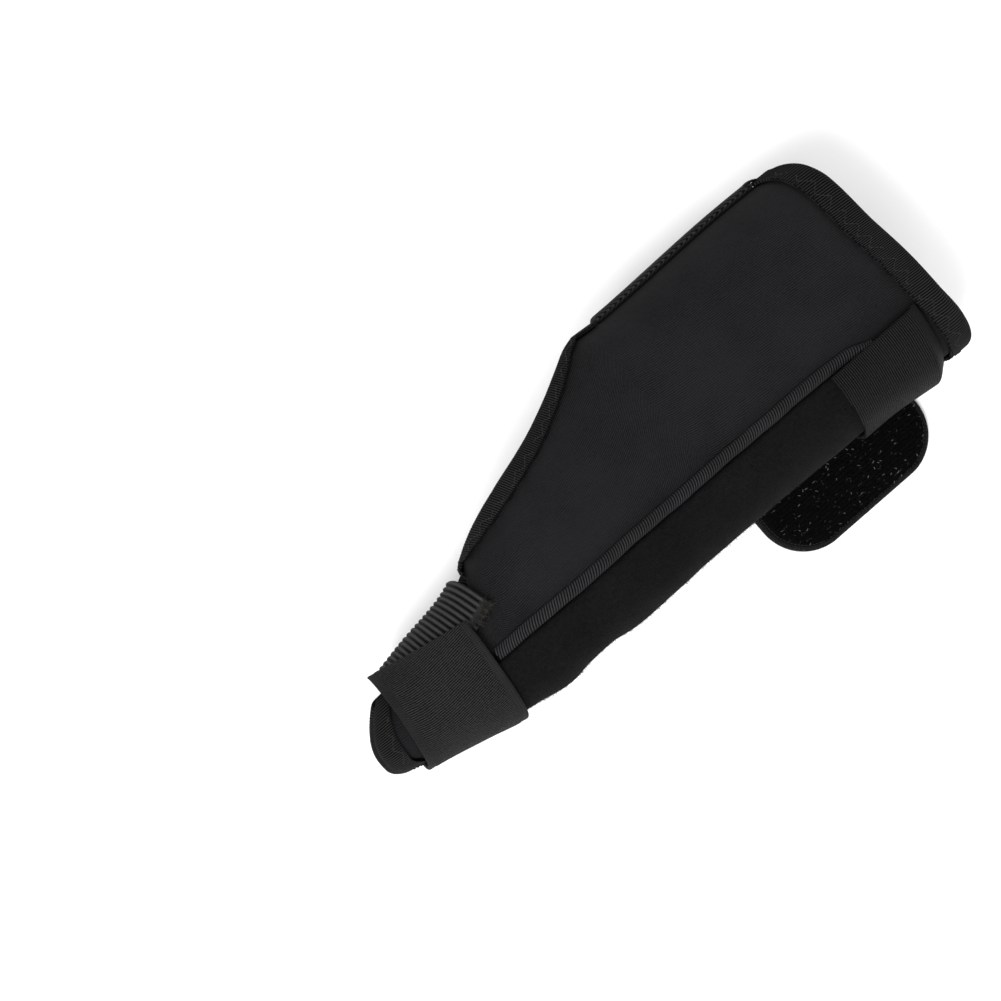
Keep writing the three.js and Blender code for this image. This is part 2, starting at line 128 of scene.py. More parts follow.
def reach_curve(side, hand_axis, hand_half, thumb_axis, thumb_half, sign):
    column = HAND_COLUMNS.index(side)
    hand = [
        (row[0] * SLEEVE_LENGTH, hand_axis + sign * row[column] * hand_half)
        for row in HAND_SECTIONS
    ]
    thumb = [
        (SLEEVE_LENGTH + row[0] * THUMB_LENGTH, thumb_axis + sign * row[column] * thumb_half)
        for row in THUMB_SECTIONS
    ]
    return curve_through(hand + thumb)


def edge_curve(side):
    column = EDGE_COLUMNS.index(side)
    hand = [(row[0] * SLEEVE_LENGTH, row[column] * WRIST_WIDTH) for row in HAND_EDGES]
    thumb = [
        (SLEEVE_LENGTH + row[0] * THUMB_LENGTH, THUMB_ASIDE + row[column] * THUMB_WIDTH)
        for row in THUMB_EDGES
    ]
    return curve_through(hand + thumb)


across = (0, WRIST_WIDTH / 2, THUMB_ASIDE, THUMB_WIDTH / 2)
upright = (WRIST_HEIGHT, WRIST_DEPTH / 2, THUMB_HEIGHT, THUMB_DEPTH / 2)
little_reach = reach_curve("little", *across, -1)
thumb_reach = reach_curve("thumb", *across, 1)
palm_reach = reach_curve("palm", *upright, 1)
back_reach = reach_curve("back", *upright, -1)
palm_edge = edge_curve("palm")
back_edge = edge_curve("back")


def smooth_step(x, low, high):
    t = np.clip((x - low) / (high - low), 0, 1)
    return t * t * (3 - 2 * t)


def mix(a, b, share):
    return a + (b - a) * share


def rest_level(x):
    """The sleeve lies on the strap's wall, then on the tape of its back edge."""
    lowered = smooth_step(x, STRAP_END + REST_LAG, STRAP_END + REST_BLEND)
    return mix(STRAP_WALL + SEAM_GAP, TAPE_WALL + TAPE_GAP, lowered)


def oval_at(x):
    left, right, top, bottom = little_reach(x), thumb_reach(x), palm_reach(x), back_reach(x)
    return (left + right) / 2, (top + bottom) / 2, (right - left) / 2, (top - bottom) / 2


def form_point(x, angle):
    """A point on the form: angle 0 is the thumb side and 90 degrees the palm."""
    y, z, width, depth = oval_at(x)
    c, s = np.cos(angle), np.sin(angle)
    power = np.where(s >= 0, PALM_ROUNDNESS, BACK_ROUNDNESS)
    radius = (np.abs(c / width) ** power + np.abs(s / depth) ** power) ** (-1 / power)
    height = np.maximum(z + radius * s, rest_level(x))
    return np.stack([x, y + radius * c, height], -1)


def form_normal(x, angle):
    along = form_point(x + 0.2, angle) - form_point(x - 0.2, angle)
    around = form_point(x, angle + 0.02) - form_point(x, angle - 0.02)
    normal = np.cross(around, along)
    return normal / np.linalg.norm(normal, axis=-1, keepdims=True)


def over(x, angle, height):
    """A point at a height over the form."""
    x, angle, height = np.broadcast_arrays(
        *(np.asarray(value, float) for value in (x, angle, height))
    )
    return form_point(x, angle) + form_normal(x, angle) * height[..., None]


def angle_across(x, across, half=1):
    """The angle of the form's palm half, or back half, at a distance across."""
    y, _, width, depth = oval_at(x)
    share = np.clip((across - y) / width, -1, 1)
    power = PALM_ROUNDNESS if half > 0 else BACK_ROUNDNESS
    rise = depth * (1 - np.abs(share) ** power) ** (1 / power)
    return half * np.arctan2(rise, share * width)


def angle_after(x, angle, distance):
    """The angle reached by going a distance round the section."""
    x, turned, distance = np.broadcast_arrays(
        *(np.asarray(value, float) for value in (x, angle, distance))
    )
    for _ in range(4):
        ahead, behind = form_point(x, turned + 0.01), form_point(x, turned - 0.01)
        turned = turned + distance / 4 / np.linalg.norm(ahead - behind, axis=-1) * 0.02
    return turned


def palm_edge_angle(x):
    return np.minimum(angle_across(x, palm_edge(x)), SEAM_ANGLE)


def back_edge_angle(x):
    return angle_across(x, back_edge(x), -1)


def on_sleeve(x, share, height):
    return over(x, mix(palm_edge_angle(x), back_edge_angle(x), share), height)


# The forearm edge from the palm-side corner at share 0 round to the back corner, as distances
# along the splint in shares of the wrist's width.
FOREARM_EDGES = [
    (0.0, 0.16), (0.03, 0.096), (0.06, 0.06), (0.1, 0.042), (0.19, 0.038), (0.3, 0.016),
    (0.41, -0.004), (0.47, -0.025), (0.57, -0.039), (0.75, -0.022), (1.0, 0.0),
]
forearm_edge = curve_through([(share, along * WRIST_WIDTH) for share, along in FOREARM_EDGES])


def thumb_edge(share):
    side = np.minimum(share, 1 - share)
    slant = THUMB_END_SLANT * np.maximum(0, 1 - side / THUMB_SLANT_REACH) ** 2
    dip = THUMB_END_DIP * smooth_step(side, 0.5 - THUMB_DIP_REACH, 0.5)
    return SLEEVE_LENGTH + THUMB_LENGTH - slant - dip


TAB_REACH = 20.2
POCKET_MIDDLE_WALL = 3.0
TAB_END = WRIST_WIDTH / 2 + SEAM_GAP + POCKET_MIDDLE_WALL + TAB_REACH
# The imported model's origin is under its middle: the strap shows by how much it was moved.
strap_low, strap_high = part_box("wrist_strap")
SHIFT = np.array(
    [strap_low[0] * 1000 - STRAP_START + STRAP_SKEW, strap_high[1] * 1000 - TAB_END, 0.0]
)


def add_object(name, data):
    added = bpy.data.objects.new(name, data)
    bpy.context.scene.collection.objects.link(added)
    return added


def make_mesh(name, points, faces, cloth=None):
    """A mesh of triangles or quads. Points are in millimetres of the form."""
    mesh = bpy.data.meshes.new(name)
    corners = faces.shape[1]
    mesh.vertices.add(len(points))
    mesh.loops.add(faces.size)
    mesh.polygons.add(len(faces))
    mesh.vertices.foreach_set("co", ((points + SHIFT) * 0.001).astype(np.float32).ravel())
    mesh.loops.foreach_set("vertex_index", faces.astype(np.int32).ravel())
    starts = np.arange(0, faces.size, corners, dtype=np.int32)
    mesh.polygons.foreach_set("loop_start", starts)
    mesh.polygons.foreach_set("use_smooth", np.ones(len(faces), dtype=bool))
    if cloth is not None:
        layer = mesh.uv_layers.new(name="cloth")
        layer.data.foreach_set("uv", cloth[faces.ravel()].astype(np.float32).ravel())
    mesh.update(calc_edges=True)
    mesh.validate()
    return add_object(name, mesh)


def wall(name, rows, columns, at, lines=None):
    """A closed wall between an outer and an inner sheet. Its cloth map holds the distance
    along the rows and along the columns, in metres, for weaves and ribs. Where the form has
    ribs of its own, lines gives the first distance, in millimetres, so that both agree."""
    row, column = np.meshgrid(rows, columns, indexing="ij")
    sheets, maps = [], []
    for outer in (True, False):
        sheet = at(row, column, outer)
        lengths = []
        for axis in (0, 1):
            step = np.linalg.norm(np.diff(sheet, axis=axis), axis=-1)
            pad = ((1, 0), (0, 0)) if axis == 0 else ((0, 0), (1, 0))
            lengths.append(np.cumsum(np.pad(step, pad), axis=axis) * 0.001)
        if lines is not None:
            lengths[0] = lines(row, column) * 0.001
        sheets.append(sheet.reshape(-1, 3))
        maps.append(np.stack(lengths, -1).reshape(-1, 2))
    n, m = row.shape
    index = np.arange(n * m).reshape(n, m)
    below = index + n * m

    def strip(a, b, c, d):
        return np.stack([part.ravel() for part in (a, b, c, d)], -1)

    faces = [
        strip(index[:-1, :-1], index[1:, :-1], index[1:, 1:], index[:-1, 1:]),
        strip(below[:-1, 1:], below[1:, 1:], below[1:, :-1], below[:-1, :-1]),
        strip(index[0, :-1], index[0, 1:], below[0, 1:], below[0, :-1]),
        strip(index[-1, 1:], index[-1, :-1], below[-1, :-1], below[-1, 1:]),
        strip(index[1:, 0], index[:-1, 0], below[:-1, 0], below[1:, 0]),
        strip(index[:-1, -1], index[1:, -1], below[1:, -1], below[:-1, -1]),
    ]
    faces = np.concatenate(faces)
    points = np.concatenate(sheets)
    a, b, c, d = (points[faces[:, k]] for k in range(4))
    volume = (np.cross(b, c) * a).sum() + (np.cross(c, d) * a).sum()
    if volume < 0:
        faces = faces[:, ::-1]
    return make_mesh(name, points, faces, np.concatenate(maps))


def spaced(length, step, edge):
    """Shares of a length, closer together over the rounded edge at each end."""
    turn = edge * (1 - np.cos(np.linspace(0, math.pi / 2, 5)))[:-1]
    middle = np.linspace(edge, length - edge, max(2, round((length - 2 * edge) / step) + 1))
    return np.concatenate([turn, middle, length - turn[::-1]]) / length


def round_edge(inside, edge):
    """How thick a wall is at a distance inside its rounded edge, as a share."""
    return np.sqrt(1 - np.clip(1 - inside / edge, 0, 0.97) ** 2)


def rounding(row, column, length, width, edge):
    """How thick a wall is near its four rounded edges, as a share."""
    from_row, from_column = np.minimum(row, 1 - row), np.minimum(column, 1 - column)
    return round_edge(np.minimum(from_row * length, from_column * width), edge)


def cloth_height(base, thickness, round_off, outer):
    """Height of a cloth's outer or inner face, drawn together at its edges."""
    middle = base + thickness / 2
    return middle + (thickness / 2 * round_off if outer else -thickness / 2 * round_off)


def new_group(name, inputs, outputs):
    """A shader node group with float and vector sockets: (name, kind, value)."""
    group = bpy.data.node_groups.new(name, "ShaderNodeTree")
    for socket, kind, value in inputs:
        made = group.interface.new_socket(socket, in_out="INPUT", socket_type=kind)
        if kind == "NodeSocketFloat":
            made.default_value = value
    for socket in outputs:
        group.interface.new_socket(socket, in_out="OUTPUT", socket_type="NodeSocketFloat")
    return group, group.nodes.new("NodeGroupInput"), group.nodes.new("NodeGroupOutput")


def math_node(tree, operation, *values):
    node = tree.nodes.new("ShaderNodeMath")
    node.operation = operation
    for socket, value in zip(node.inputs, values):
        if isinstance(value, (int, float)):
            socket.default_value = value
        else:
            tree.links.new(value, socket)
    return node.outputs[0]


# Ribs: a wave across the cloth map. Turn is its angle, Pitch its length in metres, and Waver
# how far its lines wander.
ribs_group, ribs_in, ribs_out = new_group(
    "cloth_ribs",
    [
        ("Cloth", "NodeSocketVector", None),
        ("Turn", "NodeSocketFloat", 0.0),
        ("Pitch", "NodeSocketFloat", 0.001),
        ("Waver", "NodeSocketFloat", 0.3),
    ],
    ["Height"],
)
ribs_axes = ribs_group.nodes.new("ShaderNodeSeparateXYZ")
ribs_group.links.new(ribs_in.outputs["Cloth"], ribs_axes.inputs[0])
ribs_cos = math_node(ribs_group, "COSINE", ribs_in.outputs["Turn"])
ribs_sin = math_node(ribs_group, "SINE", ribs_in.outputs["Turn"])
ribs_line = math_node(
    ribs_group,
    "ADD",
    math_node(ribs_group, "MULTIPLY", ribs_axes.outputs[0], ribs_cos),
    math_node(ribs_group, "MULTIPLY", ribs_axes.outputs[1], ribs_sin),
)
ribs_noise = ribs_group.nodes.new("ShaderNodeTexNoise")
ribs_noise.inputs["Scale"].default_value = 260
ribs_noise.inputs["Detail"].default_value = 2
ribs_group.links.new(ribs_in.outputs["Cloth"], ribs_noise.inputs["Vector"])
ribs_phase = math_node(
    ribs_group,
    "ADD",
    math_node(ribs_group, "DIVIDE", ribs_line, ribs_in.outputs["Pitch"]),
    math_node(ribs_group, "MULTIPLY", ribs_noise.outputs[0], ribs_in.outputs["Waver"]),
)
ribs_wave = math_node(
    ribs_group, "SINE", math_node(ribs_group, "MULTIPLY", ribs_phase, 2 * math.pi)
)
ribs_group.links.new(
    math_node(ribs_group, "MULTIPLY_ADD", ribs_wave, 0.5, 0.5), ribs_out.inputs["Height"]
)

# Fibre: fine fuzz, and slow patches where the nap lies another way. Size is in metres.
fibre_group, fibre_in, fibre_out = new_group(
    "cloth_fibre",
    [("Place", "NodeSocketVector", None), ("Size", "NodeSocketFloat", 0.0004)],
    ["Fuzz", "Patches"],
)
fibre_scale = math_node(fibre_group, "DIVIDE", 1.0, fibre_in.outputs["Size"])
for output, share, detail in (("Fuzz", 1.0, 4), ("Patches", 0.03, 3)):
    noise = fibre_group.nodes.new("ShaderNodeTexNoise")
    noise.inputs["Detail"].default_value = detail
    noise.inputs["Roughness"].default_value = 0.65
    fibre_group.links.new(fibre_in.outputs["Place"], noise.inputs["Vector"])
    fibre_group.links.new(
        math_node(fibre_group, "MULTIPLY", fibre_scale, share), noise.inputs["Scale"]
    )
    spread = fibre_group.nodes.new("ShaderNodeMapRange")
    spread.inputs["From Min"].default_value = 0.36
    spread.inputs["From Max"].default_value = 0.64
    fibre_group.links.new(noise.outputs[0], spread.inputs["Value"])
    fibre_group.links.new(spread.outputs[0], fibre_out.inputs[output])


def new_material(name, roughness, shine):
    material = bpy.data.materials.new(name)
    material.use_nodes = True
    shader = material.node_tree.nodes["Principled BSDF"]
    shader.inputs["Roughness"].default_value = roughness
    shader.inputs["Specular IOR Level"].default_value = shine
    return material, material.node_tree, shader


def fibre_node(tree, size):
    """Fuzz and patches that keep their place on the piece. Size is in millimetres."""
    place = tree.nodes.new("ShaderNodeTexCoord")
    fibres = tree.nodes.new("ShaderNodeGroup")
    fibres.node_tree = fibre_group
    fibres.inputs["Size"].default_value = size * 0.001
    tree.links.new(place.outputs["Object"], fibres.inputs["Place"])
    return fibres


def colour_between(tree, shader, share, dark, light):
    colour = tree.nodes.new("ShaderNodeMix")
    colour.data_type = "RGBA"
    colour.inputs["A"].default_value = (*dark, 1)
    colour.inputs["B"].default_value = (*light, 1)
    tree.links.new(share, colour.inputs["Factor"])
    tree.links.new(colour.outputs["Result"], shader.inputs["Base Color"])


def relief_from(tree, shader, height, depth):
    """The shader's normal from a height. Depth is in millimetres."""
    relief = tree.nodes.new("ShaderNodeBump")
    relief.inputs["Distance"].default_value = depth * 0.001
    tree.links.new(height, relief.inputs["Height"])
    tree.links.new(relief.outputs[0], shader.inputs["Normal"])


def cloth_material(name, dark, light, roughness, ribs, fibre, shine, bump, groove_shade):
    """A cloth. Ribs are waves as (turn in degrees, pitch in mm, waver, depth), each of which
    paints the cloth lighter on its crests, a painted highlight, less than the one before. Fibre
    is the fuzz's size in mm and its depth. Groove shade is how much darker the cloth is painted
    between the first ribs, as a share: painted shade."""
    material, tree, shader = new_material(name, roughness, shine)
    cloth = tree.nodes.new("ShaderNodeUVMap")
    cloth.uv_map = "cloth"
    size, rise = fibre
    fibres = fibre_node(tree, size)
    height = math_node(tree, "MULTIPLY", fibres.outputs["Fuzz"], rise)
    patches = math_node(tree, "MULTIPLY", fibres.outputs["Patches"], 0.2)
    fuzz = math_node(tree, "MULTIPLY", fibres.outputs["Fuzz"], 0.4)
    tone = math_node(tree, "ADD", patches, fuzz)
    waves = []
    for k, (turn, pitch, waver, depth) in enumerate(ribs):
        wave = tree.nodes.new("ShaderNodeGroup")
        wave.node_tree = ribs_group
        tree.links.new(cloth.outputs[0], wave.inputs["Cloth"])
        wave.inputs["Turn"].default_value = math.radians(turn)
        wave.inputs["Pitch"].default_value = pitch * 0.001
        wave.inputs["Waver"].default_value = waver
        raised = math_node(tree, "MULTIPLY", wave.outputs["Height"], depth)
        height = math_node(tree, "ADD", height, raised)
        # Painted highlight: each wave paints the cloth lighter on its crests.
        share = math_node(tree, "MULTIPLY", wave.outputs["Height"], 0.6 / (1 + k))
        tone = math_node(tree, "ADD", tone, share)
        waves.append(wave.outputs["Height"])
    # Painted shade: the cloth is painted darker between the first ribs.
    groove_shading = math_node(tree, "MULTIPLY_ADD", waves[0], groove_shade, 1 - groove_shade)
    tone = math_node(tree, "MULTIPLY", tone, groove_shading)
    colour_between(tree, shader, tone, dark, light)
    relief_from(tree, shader, height, bump)
    shader.inputs["Sheen Weight"].default_value = 0.01
    shader.inputs["Sheen Roughness"].default_value = 0.45
    return material


def finish_piece(piece, material, slot, *nodes):
    piece.data.materials.append(material)
    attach(piece, "root")
    if nodes:
        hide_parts(*nodes)
    return piece


SLEEVE_RUN = 190
SLEEVE_GIRTH = 150
SLEEVE_EDGE = 1.4
CREASE_RADIUS = 34
# The moulding leaves a few shallow creases where the wrist and the ball of the thumb bend it.
# Columns: along, around in degrees, length, width, depth, turn in degrees.
CREASES = [
    (84, 138, 22, 5, 0.30, 35),
    (97, 112, 30, 6, 0.28, 28),
    (112, 82, 26, 7, 0.30, 8),
    (52, 124, 34, 9, 0.22, 12),
    (34, 92, 30, 8, 0.22, -20),
    (136, 96, 15, 4, 0.30, -32),
    (146, 106, 12, 3, 0.32, -28),
]


def creased(x, angle):
    """How far the jersey lies under the form."""
    depth = np.zeros(np.broadcast(x, angle).shape)
    for along, around, length, width, deep, turn in CREASES:
        dx = x - along
        dy = (angle - math.radians(around)) * CREASE_RADIUS
        c, s = math.cos(math.radians(turn)), math.sin(math.radians(turn))
        depth += deep * np.exp(-(((dx * c + dy * s) / length) ** 2)
                               - ((dy * c - dx * s) / width) ** 2)
    return depth


def sleeve_sheet(row, share, outer):
    x = mix(forearm_edge(share), thumb_edge(share), row)
    angle = mix(palm_edge_angle(x), back_edge_angle(x), share)
    round_off = rounding(row, share, SLEEVE_RUN, SLEEVE_GIRTH, SLEEVE_EDGE)
    height = cloth_height(-NEOPRENE_WALL, NEOPRENE_WALL, round_off, outer)
    return over(x, angle, height - creased(x, angle))


sleeve_rows = spaced(SLEEVE_RUN, 1.2, SLEEVE_EDGE)
sleeve_columns = spaced(SLEEVE_GIRTH, 1.1, SLEEVE_EDGE)
sleeve = wall("sleeve", sleeve_rows, sleeve_columns, sleeve_sheet)
neoprene = cloth_material(
    "neoprene_jersey", (0.0010, 0.0010, 0.0011), (0.0145, 0.0140, 0.0151), 0.7,
    [(84, 0.62, 1.3, 0.4), (0, 0.5, 1.0, 0.2)],
    (0.55, 0.4), shine=0.015, bump=0.04, groove_shade=0.5,
)
finish_piece(sleeve, neoprene, "neoprene", "neoprene_sleeve")

# Edge bindings. Knitted tape with fine cross ribs, folded over each cut edge of the neoprene
# and sewn down by a zigzag of three stitches each way. The forearm and palm edges also have a
# The forearm and palm edges also have a straight row of thicker, very dark stitches, which also
# stand for the shadow line along the tape's inner edge: painted shadow.
TAPE_RIB = 0.1
TAPE_PITCH = 0.72
FOLD_FLAT = 0.3
EDGE_INSET = 0.012
BINDING_OVERRUN = 1.4


def tape_fold(share, width, outer):
    """Distance in from the edge, and height, along a tape's path round the edge."""
    radius = NEOPRENE_WALL / 2 + TAPE_GAP + (TAPE_WALL if outer else 0)
    near, far = share / FOLD_FLAT, (1 - share) / FOLD_FLAT
    turn = math.pi * np.clip((share - FOLD_FLAT) / (1 - 2 * FOLD_FLAT), 0, 1)
    inward = np.where(share < FOLD_FLAT, width * (1 - near), -radius * np.sin(turn))
    inward = np.where(share > 1 - FOLD_FLAT, width * (1 - far), inward)
    return inward, radius * np.cos(turn) - NEOPRENE_WALL / 2


def tape_lines(length, width, lean):
    """The ribs' distance along a tape: they lean by some millimetres over one of width."""

    def at(row, column):
        inward, _ = tape_fold(column, width, True)
        return row * length + lean * inward + TAPE_PITCH / 4

    return at


def tape_sheet(place, length, width, lean):
    """A folded tape. Place gives a point from its share along, distance in and height."""
    lines = tape_lines(length, width, lean)

    def at(row, column, outer):
        inward, height = tape_fold(column, width, outer)
        rib = np.sin(2 * math.pi * lines(row, column) / TAPE_PITCH)
        soft = 0.08 * np.sin(row * length / 7.3) + 0.05 * np.sin(row * length / 2.9)
        swell = TAPE_RIB * rib + soft if outer else soft * 0.5
        shown = np.clip(np.minimum(column, 1 - column) * 25, 0, 1)
        side = np.sign(height + NEOPRENE_WALL / 2)
        return place(row, inward, height + swell * shown * side)

    return at


FOLD_SHARES = np.concatenate([
    np.linspace(0, 0.03, 4)[:-1], np.linspace(0.03, FOLD_FLAT, 6)[:-1],
    np.linspace(FOLD_FLAT, 1 - FOLD_FLAT, 15)[:-1], np.linspace(1 - FOLD_FLAT, 1, 6),
])
FOREARM_TAPE_WIDTH = 6.0
PALM_TAPE_WIDTH = 3.2
THUMB_TAPE_WIDTH = 3.4
FOREARM_LENGTH = 160.0
PALM_LENGTH = 88.0
THUMB_END_LENGTH = 66.0


def on_forearm_edge(row, inward, height):
    share = mix(-EDGE_INSET, 1 - EDGE_INSET, row)
    return on_sleeve(forearm_edge(np.maximum(share, EDGE_INSET)) + inward, share, height)


def on_thumb_end(row, inward, height):
    share = mix(EDGE_INSET, 1 - EDGE_INSET, row)
    return on_sleeve(thumb_edge(share) - inward, share, height)


def on_edge(edge_angle, way):
    def place(row, inward, height):
        x = mix(STRAP_END + SEAM_GAP, SLEEVE_LENGTH + BINDING_OVERRUN, row)
        return over(x, angle_after(x, edge_angle(x), way * inward), height)

    return place


on_palm_edge = on_edge(palm_edge_angle, -1)
on_back_edge = on_edge(back_edge_angle, 1)

tape = cloth_material(
    "binding_tape", (0, 0, 0), (0.0215, 0.0212, 0.0208), 0.75,
    [(0, TAPE_PITCH, 0.15, 0.8), (90, 0.6, 0.6, 0.25)],
    (0.4, 0.6), shine=0.015, bump=0.12, groove_shade=1.0,
)
# Columns: name, place, length, width, lean.
BINDINGS = [
    ("forearm", on_forearm_edge, FOREARM_LENGTH, FOREARM_TAPE_WIDTH, 0),
    ("palm", on_palm_edge, PALM_LENGTH, PALM_TAPE_WIDTH, 0.42),
    ("back", on_back_edge, PALM_LENGTH, PALM_TAPE_WIDTH, -0.42),
    ("thumb_end", on_thumb_end, THUMB_END_LENGTH, THUMB_TAPE_WIDTH, 0),
]
for name, place, length, width, lean in BINDINGS:
    rows = np.linspace(0, 1, round(length / TAPE_PITCH * 4) + 1)
    sheet = tape_sheet(place, length, width, lean)
    lines = tape_lines(length, width, lean)
    piece = wall(name + "_tape", rows, FOLD_SHARES, sheet, lines)
    finish_piece(piece, tape, "binding_tape", name + "_binding")


def tube_mesh(name, points, way):
    """Open tubes from points by tube, ring and side. Way is 1 or -1, for faces turned out."""
    index = np.arange(points[..., 0].size).reshape(points.shape[:3])
    after = np.roll(index, -1, axis=2)
    faces = np.stack([index[:, :-1], after[:, :-1], after[:, 1:], index[:, 1:]], -1)
    return make_mesh(name, points.reshape(-1, 3), faces.reshape(-1, 4)[:, ::way])


def threads(name, starts, ends, ups, radius, arch, rings=5, sides=5):
    """Short threads from start to end, each rising over the cloth in the middle."""
    axis = ends - starts
    axis = axis / np.linalg.norm(axis, axis=-1, keepdims=True)
    side = np.cross(axis, ups)
    side /= np.linalg.norm(side, axis=-1, keepdims=True)
    up = np.cross(side, axis)
    share = np.linspace(0, 1, rings)
    middle = starts[:, None] + (ends - starts)[:, None] * share[:, None]
    middle = middle + up[:, None] * (arch * np.sin(math.pi * share) - 0.3 * arch)[:, None]
    thick = radius * np.sqrt(np.sin(math.pi * np.clip(share, 0.06, 0.94)))
    turn = np.arange(sides) * 2 * math.pi / sides
    ring = (
        side[:, None, None] * np.cos(turn)[:, None] + up[:, None, None] * np.sin(turn)[:, None]
    )
    return tube_mesh(name, middle[:, :, None] + ring * thick[:, None, None], -1)


def stitches(name, place, alongs, inwards, height, radius, arch):
    """Stitches between following points of a row."""
    points = place(alongs, inwards, np.full_like(alongs, height))
    ups = place(alongs, inwards, np.full_like(alongs, height + 1.0)) - points
    gap = np.diff(points, axis=0) * 0.07
    return threads(name, points[:-1] + gap, points[1:] - gap, ups[:-1], radius, arch)


def thread_material(name, colour, roughness):
    material, tree, shader = new_material(name, roughness, 0.05)
    twist = fibre_node(tree, 0.18).outputs["Fuzz"]
    dark, light = ([part * share for part in colour] for share in (0.5, 1.5))
    colour_between(tree, shader, twist, dark, light)
    relief_from(tree, shader, twist, 0.04)
    return material


thread = thread_material("sewing_thread", (0.0200, 0.0197, 0.0194), 0.6)
# Very dark thread for the rows, the corner tack and the strap's joint: stitches, and painted
# shadow where they fill edges and joints.
thread_and_painted_shadow = thread_material("thread_and_painted_shadow", (0.0015, 0.0015, 0.0015), 0.7)
TAPE_TOP = TAPE_GAP + TAPE_WALL + TAPE_RIB
ZIGZAG_STITCH = 0.95
ROW_STITCH = 1.5
# Columns: name, place, length, middle, swing, first, last.
ZIGZAGS = [
    ("forearm_zigzag", on_forearm_edge, FOREARM_LENGTH, 3.1, 1.5, 0.02, 0.98),
    ("palm_zigzag", on_palm_edge, PALM_LENGTH, 1.9, 0.9, 0.01, 0.99),
    ("back_zigzag", on_back_edge, PALM_LENGTH, 1.9, 0.9, 0.01, 0.99),
    ("thumb_end_zigzag", on_thumb_end, THUMB_END_LENGTH, 1.8, 0.9, 0.02, 0.98),
]
for name, place, length, middle, swing, first, last in ZIGZAGS:
    steps = np.arange(round(length * (last - first) / ZIGZAG_STITCH))
    alongs = mix(first, last, steps / (len(steps) - 1))
    wave = np.abs((steps % 6) - 3) / 1.5 - 1
    sunk = 0.45 * np.clip(np.sin(steps * 0.31) + 0.7 * np.sin(steps * 0.83), 0, 1)
    inwards = middle + swing * wave + 0.15 * np.sin(steps * 2.3)
    piece = stitches(name, place, alongs, inwards, TAPE_TOP + 0.08 - sunk, 0.17, 0.16)
    finish_piece(piece, thread, "binding_tape")
# Columns: name, place, length, inward, first, last.
ROWS = [
    ("forearm_row", on_forearm_edge, FOREARM_LENGTH, FOREARM_TAPE_WIDTH - 0.25, 0.05, 0.95),
    ("palm_row", on_palm_edge, PALM_LENGTH, PALM_TAPE_WIDTH + 0.5, 0.01, 0.95),
]
# The rows' thick, very dark stitches also stand for the shadow line along the tape's inner edge:
# painted shadow.
for name, place, length, inward, first, last in ROWS:
    steps = np.arange(round(length * (last - first) / ROW_STITCH))
    alongs = mix(first, last, steps / (len(steps) - 1))
    inwards = inward + 0.25 * np.sin(steps * 1.3) + 0.12 * np.sin(steps * 2.9)
    piece = stitches(name, place, alongs, inwards, TAPE_TOP - 0.3, 0.36, 0.3)
    finish_piece(piece, thread_and_painted_shadow, "binding_tape")

# Thumb elastic. A strip of ribbed elastic closes the sleeve round the web side of the thumb.
# Its ribs run round the thumb, and its cut edge is sewn flat on the palm side, where it frays.
BAND_START = SLEEVE_LENGTH + 10.0
BAND_WIDTH = 30.7
ELASTIC_WALL = 1.2
ELASTIC_RIB = 0.5
ELASTIC_PITCH = 1.8
ELASTIC_REACH = 6.6
ELASTIC_SPREAD = 0.33
ELASTIC_START = 3.4
ELASTIC_SLANT = 2.5
ELASTIC_STOP = BAND_START + BAND_WIDTH - 6.0
ELASTIC_GAP = SEAM_GAP * 1.4
ELASTIC_LENGTH = ELASTIC_STOP - SLEEVE_LENGTH - ELASTIC_START + ELASTIC_SLANT
ELASTIC_RIBS = round(ELASTIC_LENGTH / ELASTIC_PITCH)
ELASTIC_RUN = 40
ELASTIC_GIRTH = 55
ELASTIC_EDGE = 0.6
ELASTIC_CUT = 0.35


def elastic_place(row, column):
    side = np.abs(column - 0.5) * 2
    start = SLEEVE_LENGTH + ELASTIC_START - ELASTIC_SLANT * side**2
    x = mix(start, ELASTIC_STOP, row)
    drift = ELASTIC_SPREAD * (np.minimum(x, BAND_START) - SLEEVE_LENGTH)
    first = angle_across(x, ELASTIC_REACH + drift)
    last = 2 * math.pi + angle_across(x, ELASTIC_REACH + drift, -1)
    return x, mix(first, last, column)


def elastic_lines(row, column):
    pulled = 0.10 * np.sin(column * 9 + row * 5)
    return (row * ELASTIC_RIBS + pulled - 0.25) * ELASTIC_PITCH


def elastic_sheet(row, column, outer):
    x, angle = elastic_place(row, column)
    rib = 0.5 + 0.5 * np.sin(2 * math.pi * elastic_lines(row, column) / ELASTIC_PITCH)
    sewn = smooth_step(np.minimum(column, 1 - column), 0.0, 0.09)
    round_off = rounding(row, column, ELASTIC_RUN, ELASTIC_GIRTH, ELASTIC_EDGE)
    if not outer:
        return over(x, angle, ELASTIC_GAP + 0.2 * (1 - round_off))
    height = ELASTIC_CUT + (ELASTIC_WALL - ELASTIC_CUT) * mix(0.45, 1, sewn) * round_off
    return over(x, angle, ELASTIC_GAP + height + ELASTIC_RIB * mix(0.25, 1, sewn) * rib**0.8)


elastic_rows = spaced(ELASTIC_RUN, 0.21, ELASTIC_EDGE)
elastic_columns = spaced(ELASTIC_GIRTH, 0.8, ELASTIC_EDGE)
elastic = wall("elastic", elastic_rows, elastic_columns, elastic_sheet, elastic_lines)
rib_knit = cloth_material(
    "ribbed_elastic", (0.0002, 0.0002, 0.0002), (0.0360, 0.0353, 0.0343), 0.7,
    [(0, ELASTIC_PITCH, 0.05, 0.2), (90, 0.5, 0.3, 0.4), (0, 0.45, 0.4, 0.3)],
    (0.45, 0.6), shine=0.02, bump=0.12, groove_shade=0.9,
)
finish_piece(elastic, rib_knit, "ribbed_elastic", "thumb_elastic")

